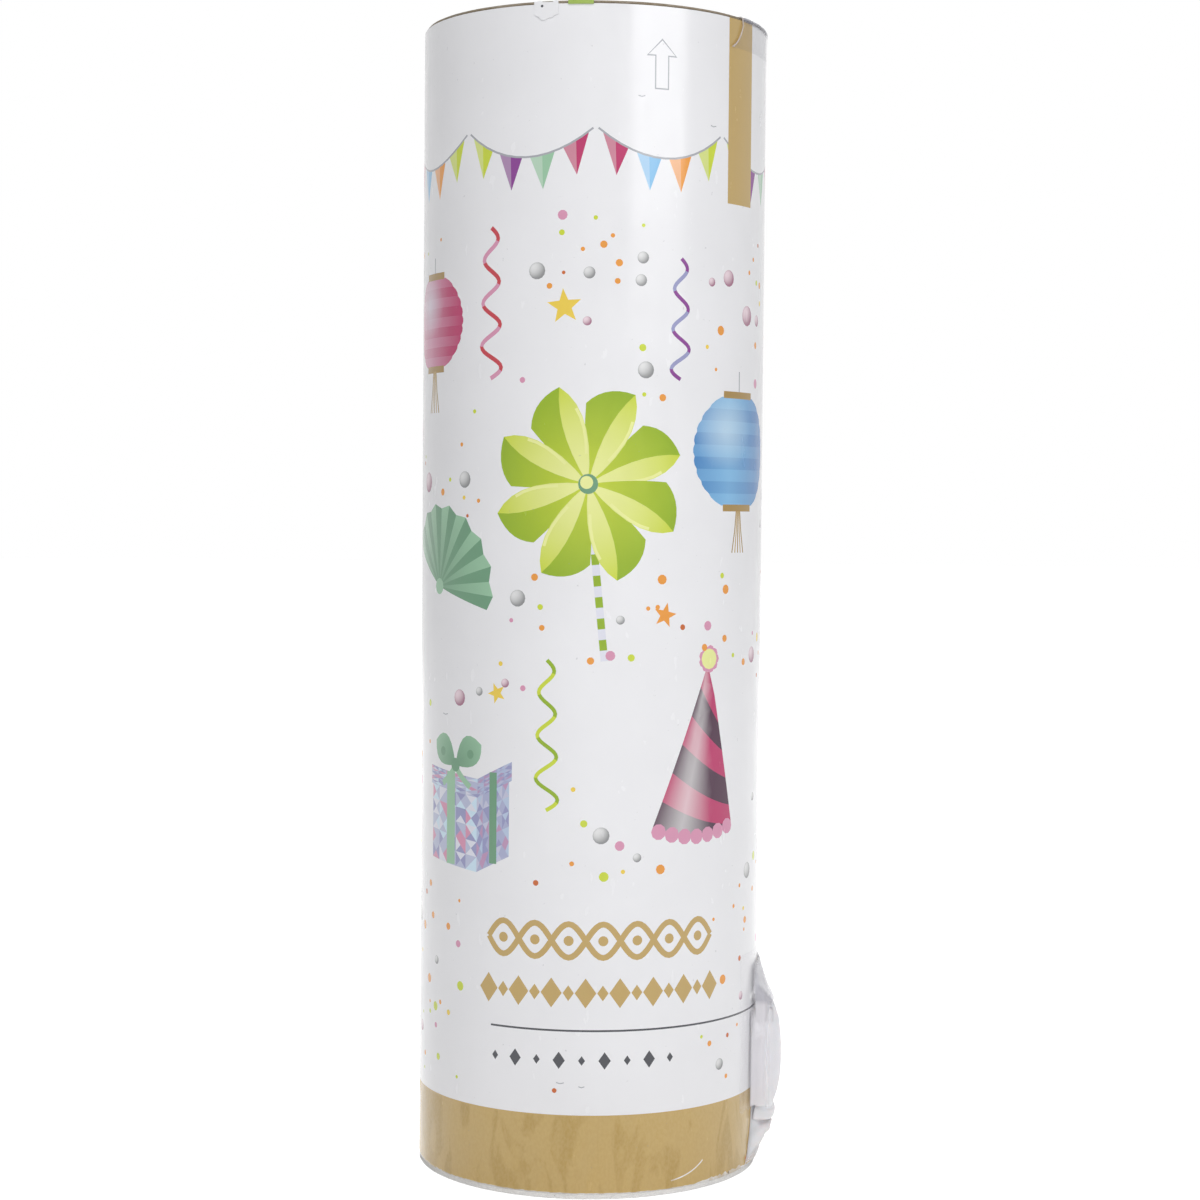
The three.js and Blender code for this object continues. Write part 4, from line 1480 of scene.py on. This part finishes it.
def clear_tape():
    """A strip of clear tape that bridges the folded neck: it clings to the wall at its edges, and slopes down
    to it above the fold."""
    low = low_corner("clear_tape")
    high = high_corner("clear_tape")
    film = 0.12
    wall = BODY_RADIUS + 0.32
    crest = high.x - film - 0.03
    half = math.radians(35)
    columns = 110
    rows = 44
    lifts = [
        (low.z, 0.88), (14, 0.98), (17, 1.0), (24, 1.0), (27.4, 0.98), (29.8, 0.92), (31.7, 0.8),
        (33.7, 0.63), (35.4, 0.49), (36.8, 0.38), (39, 0.25), (41, 0.14), (42.5, 0.06), (44, 0.0),
        (high.z, 0.0),
    ]

    def lift(z):
        for (near, a), (far, b) in zip(lifts, lifts[1:]):
            if z <= far:
                return a + (b - a) * (z - near) / (far - near)
        return 0.0

    def surface(i, j):
        angle = -half + 2 * half * i / columns
        aside = abs(math.degrees(angle))
        start = low.z + 0.4 + 1.1 * eased(aside, 9, 17) + 0.3 * math.sin(aside * 1.1)
        z = start + (high.z - start) * j / rows
        straight = eased(z, 27, 31) * (1 - eased(z, 34, 38))
        edge = 21.6 - 2.4 * straight
        rounded = 1.0 - (0.27 + 0.2 * straight) * min(1.0, aside / edge) ** 3
        flat = 1 + straight * (1 / math.cos(min(abs(angle), math.radians(edge))) - 1)
        down = eased(aside, edge, edge + 3.2)
        crest_here = (wall + (crest - wall) * lift(z) * rounded) * flat
        radius = crest_here + (wall - crest_here) * down
        wrinkle = 0.06 * (1 + math.sin(z * 0.9 + aside * 0.55)) * down * (1 - down) * 4
        return radius + wrinkle * min(1.0, lift(z) * 2), angle, z

    outer = []
    inner = []
    for i in range(columns + 1):
        for j in range(rows + 1):
            radius, angle, z = surface(i, j)
            outer.append(around(radius + film, angle, z))
            inner.append(around(radius, angle, z))
    points, faces = doubled_grid(outer, inner, columns, rows)
    piece("tape_film", (points, faces), neck_tape_look(), "tape", "clear_tape", 60)


def doubled_grid(outer, inner, columns, rows):
    """A closed thin sheet from two grids of points that lie face to face."""
    count = len(outer)
    stride = rows + 1
    faces = []
    for i in range(columns):
        for j in range(rows):
            a = i * stride + j
            quad = (a, a + stride, a + stride + 1, a + 1)
            faces.append(quad)
            faces.append(tuple(count + k for k in reversed(quad)))
    ring = [i * stride for i in range(columns)] + [columns * stride + j for j in range(rows)]
    ring += [i * stride + rows for i in range(columns, 0, -1)] + [j for j in range(rows, 0, -1)]
    for k, a in enumerate(ring):
        b = ring[(k + 1) % len(ring)]
        faces.append((b, a, a + count, b + count))
    return outer + inner, faces


# Balloon, pusher and favours

def balloon():
    """The slack balloon in the foot: a loose bag with deep upright folds and small creases."""
    low, high = low_corner("balloon_body"), high_corner("balloon_body")
    folds = 7
    tall = high.z - low.z
    columns, levels = 84, 30
    rings = []
    for k in range(1, levels):
        turn = math.pi * k / levels
        height = low.z + tall * (1 - math.cos(turn)) / 2
        ring = []
        for i in range(columns):
            angle = math.tau * i / columns
            fold = 1 + 0.065 * math.cos(folds * angle) + 0.02 * math.cos(3 * folds * angle + 6 * turn)
            crease = 0.5 * noise.noise(Vector((math.cos(angle) * 3, math.sin(angle) * 3, height * 0.12)))
            radius = 26.4 * math.sin(turn) ** 0.8 * (fold - 0.02) + crease * math.sin(turn)
            ring.append(around(radius, angle, height))
        rings.append(ring)
    made = rubber_skin("balloon_bag", rings)
    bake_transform(made)
    stand_for("balloon_body")


def streamer_roll(number):
    """A tightly wound paper streamer: its layers show as rings on both faces, and its end hangs loose."""
    node = f"streamer_roll_{number}"
    low, high = low_corner(node).z, high_corner(node).z
    radius = high_corner(node).y - 0.05
    bore = 4.5
    windings = 18
    pick = random.Random(number)
    edges = windings * 2
    sunk = [0.06 + 0.2 * pick.random() for _ in range(edges + 1)]
    outermost = radius - 0.3
    upper = [(outermost - (outermost - bore) * k / edges, high - sunk[k]) for k in range(edges + 1)]
    under = [(r, low + high - h) for r, h in reversed(upper)]
    middle = (low + high) / 2
    side = [
        (radius - 0.08, low + 0.5), (radius, middle - 1.5), (radius - 0.06, middle), (radius, middle + 1.5),
        (radius - 0.08, high - 0.5),
    ]
    roll = turned(side + upper + under, 72)
    start = pick.uniform(0, math.tau)
    rings = []
    for k in range(11):
        angle = start + 0.5 * k / 10
        lift = 1.1 * (k / 10) ** 1.6
        inner, outer = radius - 0.1 + lift, radius + 0.08 + lift
        rim = [(inner, low + 0.6), (outer, low + 0.6), (outer, high - 0.6), (inner, high - 0.6)]
        rings.append([around(r, angle, h) for r, h in rim])
    look = party_paper(SLOTS[node], True)
    piece(f"paper_streamer_{number}", joined(roll, loft(rings)), look, "payload", node, 30)


def paper_ball(number):
    """A light pulp ball, pressed in two halves and a little dented."""
    node = f"ball_{number}"
    low, high = low_corner(node), high_corner(node)
    centre = (low + high) / 2
    radius = (high.z - low.z) / 2
    work = bmesh.new()
    bmesh.ops.create_icosphere(work, subdivisions=4, radius=1)
    points = []
    pick = Vector((number * 3.7, number * 1.9, 0))
    for vertex in work.verts:
        way = vertex.co.normalized()
        dent = 0.02 * abs(noise.noise(way * 1.7 + pick)) + 0.012 * abs(noise.noise(way * 7 + pick))
        seam = 0.012 * math.exp(-((way.z + 0.2 * way.x) / 0.035) ** 2)
        points.append(centre + way * radius * (0.995 - dent - seam))
    faces = [tuple(v.index for v in face.verts) for face in work.faces]
    work.free()
    piece(f"pulp_ball_{number}", (points, faces), party_paper(SLOTS[node]), "payload", node)


def blowout(number):
    """A plastic mouthpiece with moulded rings, a crimped foil collar and a paper tongue rolled in a coil."""
    mouth = f"horn_{number}_mouthpiece"
    collar = f"horn_{number}_collar"
    coil = f"horn_{number}_coil"
    low, high = low_corner(mouth), high_corner(mouth)
    offset = ((low.x + high.x) / 2, 0, 0)
    tall = high.z - low.z
    bore = 2.5

    def cone(z):
        return 4 + min(1.0, (z - low.z) / (tall - 9))

    lip = [(bore, 0), (3.2, 0), (3.7, 0.3), (3.85, 1.1), (3.5, 2.4), (3.3, 6)]
    lip = [(radius, low.z + height) for radius, height in lip]
    rings = []
    for z in (9, 12.5, 16):
        for dz, inset in ((-1.0, 0.65), (-0.6, 0.2), (0, 0.02), (0.6, 0.2), (1.0, 0.65)):
            rings.append((cone(low.z + z + dz) - inset, low.z + z + dz))
    shaft = [(cone(z) - 0.45, z) for z in (low.z + 20, low.z + 34, high.z - 12)]
    wide = cone(high.z)
    head = [(wide - 0.15, high.z - 9.5), (wide - 0.1, high.z - 0.4), (4.6, high.z), (bore, high.z)]
    points, faces = turned(lip + rings + shaft + head, 40)
    piece(f"blowout_mouthpiece_{number}", (placed(points, offset), faces), PLASTIC, "payload", mouth)

    low, high = low_corner(collar), high_corner(collar)
    inside = 5.3
    flutes = 22

    def crimp(angle, radius, height):
        return 0.28 * math.cos(flutes * angle) if radius > inside + 0.1 else 0.0

    rise = high.z - low.z - 0.4
    outer = [(inside + 0.4 + 0.03 * math.cos(k * 1.9), low.z + 0.2 + rise * k / 12) for k in range(13)]
    band = [(inside, low.z), (inside + 0.38, low.z), *outer, (inside + 0.38, high.z), (inside, high.z)]
    points, faces = turned(band, flutes * 6, crimp)
    piece(f"blowout_collar_{number}", (placed(points, offset), faces), FOIL, "payload", collar)

    low, high = low_corner(coil), high_corner(coil)
    middle = (low + high) / 2
    outer_radius = (high.z - low.z) / 2 - 0.6
    half = (high.x - low.x) / 2
    turns = 8.5
    steps = round(turns * 44)
    way = 1 if number == 1 else -1
    strip = [(-1, 0), (-0.93, 0.62), (0, 1), (0.93, 0.62), (1, 0), (0.93, -0.62), (0, -1), (-0.93, -0.62)]
    sections = []
    for k in range(steps + 1):
        share = k / steps
        angle = -math.pi / 2 + math.tau * turns * share * way
        radius = outer_radius - (outer_radius - 2.2) * share
        fat = 0.5 + 0.06 * math.sin(k * 0.8)
        section = []
        for a, b in strip:
            out = radius + b * fat
            section.append((middle.x + half * a, out * math.cos(angle), middle.z + out * math.sin(angle)))
        sections.append(section)
    plug = [(0, -3), (2.3, -3), (2.3, -0.2), (4.4, 0.25), (2.0, 0.5), (0, 0.5)]
    points, faces = turned([(radius, low.z + height) for radius, height in plug], 24)
    tongue = joined(loft(sections), (placed(points, offset), faces))
    piece(f"blowout_tongue_{number}", tongue, party_paper(SLOTS[coil]), "payload", coil)


def blowpipe(number):
    """A paper pipe wound from two strips, so that two colours spiral up it."""
    node = f"blowpipe_{number}"
    low, high = low_corner(node), high_corner(node)
    middle = (low + high) / 2
    radius = (high.x - low.x) / 2
    inside = radius - 1
    levels = 60
    heights = [low.z + (high.z - low.z) * k / levels for k in range(levels + 1)]
    outer = [(radius - (0.12 if k in (0, levels) else 0.0), z) for k, z in enumerate(heights)]
    profile = outer + [(inside, z) for z in reversed(heights)]
    twist = math.tau / 26
    points, faces = turned(profile, 48, None, twist)
    shape = (placed(points, (middle.x, middle.y, 0)), faces)
    made = piece(f"paper_pipe_{number}", shape, party_paper(SLOTS[node]), "payload", node)
    made.data.materials.append(party_paper("paper_cream"))
    for polygon in made.data.polygons:
        x, y, z = polygon.center / MM
        turn = math.atan2(y - middle.y, x - middle.x) - twist * z
        polygon.material_index = int(turn / math.tau * 4 % 4) % 2


def paper_crown(number, teeth, tall, look):
    """A crown folded flat in two layers of card, with curved points and a pleated band along its foot."""
    node = f"paper_crown_{number}"
    low = low_corner(node).z
    outside = high_corner(node).x
    half = math.radians(60)
    columns, rows = teeth * 24, 14
    band = 16
    parts = []
    for near, far, drop in ((outside - 0.45, outside, 0.0), (outside - 1.0, outside - 0.55, 1.5)):
        outer = []
        inner = []
        for i in range(columns + 1):
            share = i / columns
            along = share * teeth
            point = (1 - abs(2 * (along % 1) - 1)) ** 1.2
            top = low + tall + 22 * point - drop
            angle = -half + 2 * half * share
            for j in range(rows + 1):
                z = low + (top - low) * j / rows
                pleat = 0.06 * math.cos(share * teeth * math.tau * 4) * (1 if z < low + band else 0.25)
                for radius, grid in ((far - 0.07 + pleat, outer), (near + 0.07 + pleat, inner)):
                    grid.append(around(radius, angle, z))
        parts.append(doubled_grid(outer, inner, columns, rows))
    piece(f"folded_crown_{number}", joined(*parts), look, "payload", node, 25)


def domino_mask():
    """A half mask of filmed card, bent against the wall, with raised rims round its eyes and edge."""
    node = "domino_mask"
    low, high = low_corner(node), high_corner(node)
    outside = BORE_RADIUS - 0.7
    thick = 0.8
    rim = 1.4
    sunk = 0.16
    centre = (low.z + high.z) / 2
    tip, half = (high.z - low.z) / 2, 25.0
    waist = half * 0.62
    eye_spacing, eye_length, eye_width = 70.0, 30.0, 16.0
    side = [
        ((0, waist), (tip * 0.35, half), (tip * 0.75, half)),
        ((tip * 0.75, half), (tip, half), (tip, half * 0.4)),
        ((tip, half * 0.4), (tip * 0.9, -half), (tip * 0.42, -half)),
        ((tip * 0.42, -half), (tip * 0.14, -half), (0, -waist * 0.3)),
    ]
    right = [p for curve in side for p in bent(*curve, 14)]
    left = [(-x, y) for x, y in reversed(right[1:])]
    drawn = right + [(0, -waist * 0.3)] + left

    def unrolled(x, y):
        angle = math.pi - math.asin(max(-1.0, min(1.0, y / outside)))
        return ((angle - FRONT_AZIMUTH) * BODY_RADIUS, centre + x)

    outline = [unrolled(x, y) for x, y in drawn]
    eyes = []
    sides = 40
    for sign in (-1, 1):
        eye = []
        for k in range(sides):
            turn = math.tau * k / sides
            x = sign * eye_spacing / 2 + eye_length / 2 * math.cos(turn)
            eye.append(unrolled(x, eye_width / 2 * math.sin(turn)))
        eyes.append(eye)

    def relief(u, v):
        edge = min(math.hypot(u - a, v - b) for a, b in outline + eyes[0] + eyes[1])
        return 0.0 if edge < rim else sunk

    made = wrapped("half_mask", outline, eyes, lambda u, v: outside - relief(u, v),
                   lambda u, v: outside - thick + relief(u, v), (2.0, 2.0), mask_look())
    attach(made, "payload")
    stand_for(node)


def favours():
    """The pusher and all that it pushes out."""
    rolls = 8
    balls = 12
    pusher = board_look("pusher_board", ink("b9ad9b"), ink("8b7d69"), ink("5b4d3a"))
    card_disc("pusher_board", "pusher_disc", pusher, "payload", ragged=0.15, seed=5.0)
    for number in range(1, rolls + 1):
        streamer_roll(number)
    for number in range(1, balls + 1):
        paper_ball(number)
    for number in (1, 2):
        blowout(number)
        blowpipe(number)
    paper_crown(1, teeth=5, tall=118, look=party_paper(SLOTS["paper_crown_1"]))
    paper_crown(2, teeth=4, tall=104, look=FOIL)
    domino_mask()


# Floor and light

def either_ray(tree, kinds):
    """1 for a ray of one of these kinds and 0 for the rest."""
    path = tree.nodes.new("ShaderNodeLightPath")
    seen = path.outputs[kinds[0]]
    for kind in kinds[1:]:
        either = tree.nodes.new("ShaderNodeMath")
        either.operation = "MAXIMUM"
        tree.links.new(seen, either.inputs[0])
        tree.links.new(path.outputs[kind], either.inputs[1])
        seen = either.outputs[0]
    return seen


def add_floor():
    size = 6000
    sides = 64
    points = [around(size, math.tau * k / sides, 0.0) for k in range(sides)]
    mesh = bare_mesh("floor", points, [tuple(range(sides))])
    floor = linked("floor", mesh)
    material = bpy.data.materials.new("floor")
    material.use_nodes = True
    tree = material.node_tree
    shader = tree.nodes["Principled BSDF"]
    shader.inputs["Base Color"].default_value = (0.86, 0.86, 0.86, 1)
    shader.inputs["Roughness"].default_value = 0.9
    shader.inputs["Specular IOR Level"].default_value = 0.1
    white = tree.nodes.new("ShaderNodeEmission")
    share = tree.nodes.new("ShaderNodeMath")
    share.operation = "MULTIPLY"
    share.inputs[1].default_value = 0.8
    tree.links.new(either_ray(tree, ("Is Camera Ray", "Is Glossy Ray")), share.inputs[0])
    tree.links.new(share.outputs[0], white.inputs["Strength"])
    both = tree.nodes.new("ShaderNodeAddShader")
    tree.links.new(shader.outputs[0], both.inputs[0])
    tree.links.new(white.outputs[0], both.inputs[1])
    tree.links.new(both.outputs[0], tree.nodes["Material Output"].inputs["Surface"])
    mesh.materials.append(material)


def add_world(level):
    world = bpy.data.worlds.new("studio")
    bpy.context.scene.world = world
    world.use_nodes = True
    tree = world.node_tree
    background = tree.nodes["Background"]
    background.inputs["Color"].default_value = (1, 1, 1, 1)
    seen = either_ray(tree, ("Is Camera Ray", "Is Glossy Ray", "Is Transmission Ray"))
    strength = tree.nodes.new("ShaderNodeMapRange")
    strength.inputs["To Min"].default_value = level
    strength.inputs["To Max"].default_value = 1.0
    tree.links.new(seen, strength.inputs["Value"])
    tree.links.new(strength.outputs[0], background.inputs["Strength"])


def add_panel(name, azimuth, height, distance, width, tall, radiance):
    """A soft panel light that faces the tube's middle. azimuth is to the right of the camera's side."""
    data = bpy.data.lights.new(name, "AREA")
    data.shape = "RECTANGLE"
    data.size = width * MM
    data.size_y = tall * MM
    data.energy = radiance * math.pi * width * MM * tall * MM
    light = linked(name, data)
    angle = FRONT_AZIMUTH + math.radians(azimuth)
    place = Vector(around(distance, angle, height)) * MM
    light.location = place
    target = Vector((0, 0, 0.12))
    light.rotation_euler = (place - target).to_track_quat("Z", "Y").to_euler()
    return light


def add_lights():
    add_world(0.3)
    gloss = add_panel("gloss_panel", 42, height=470, distance=1000, width=690, tall=330, radiance=3.4)
    gloss.visible_diffuse = False
    add_panel("front_panel", 8, height=1100, distance=1200, width=1400, tall=900, radiance=2.65)
    low = add_panel("low_panel", 8, height=160, distance=1400, width=1400, tall=400, radiance=1.8)
    low.visible_glossy = False
    add_panel("back_panel", 188, height=1100, distance=1200, width=1400, tall=900, radiance=3)
    fill = add_panel("foot_fill", 68, height=45, distance=330, width=220, tall=160, radiance=0.8)
    fill.visible_glossy = False


bpy.context.scene.view_settings.view_transform = "Standard"
add_camera()
LABEL = label_look()
RUBBER = latex_look()
PLASTIC = plastic_look()
FOIL = foil_look()
printed_label()
card_tube()
end_boards()
lid_tabs()
torn_rim()
neck_lower()
neck_fold()
neck_upper()
clear_tape()
balloon()
favours()
add_floor()
add_lights()
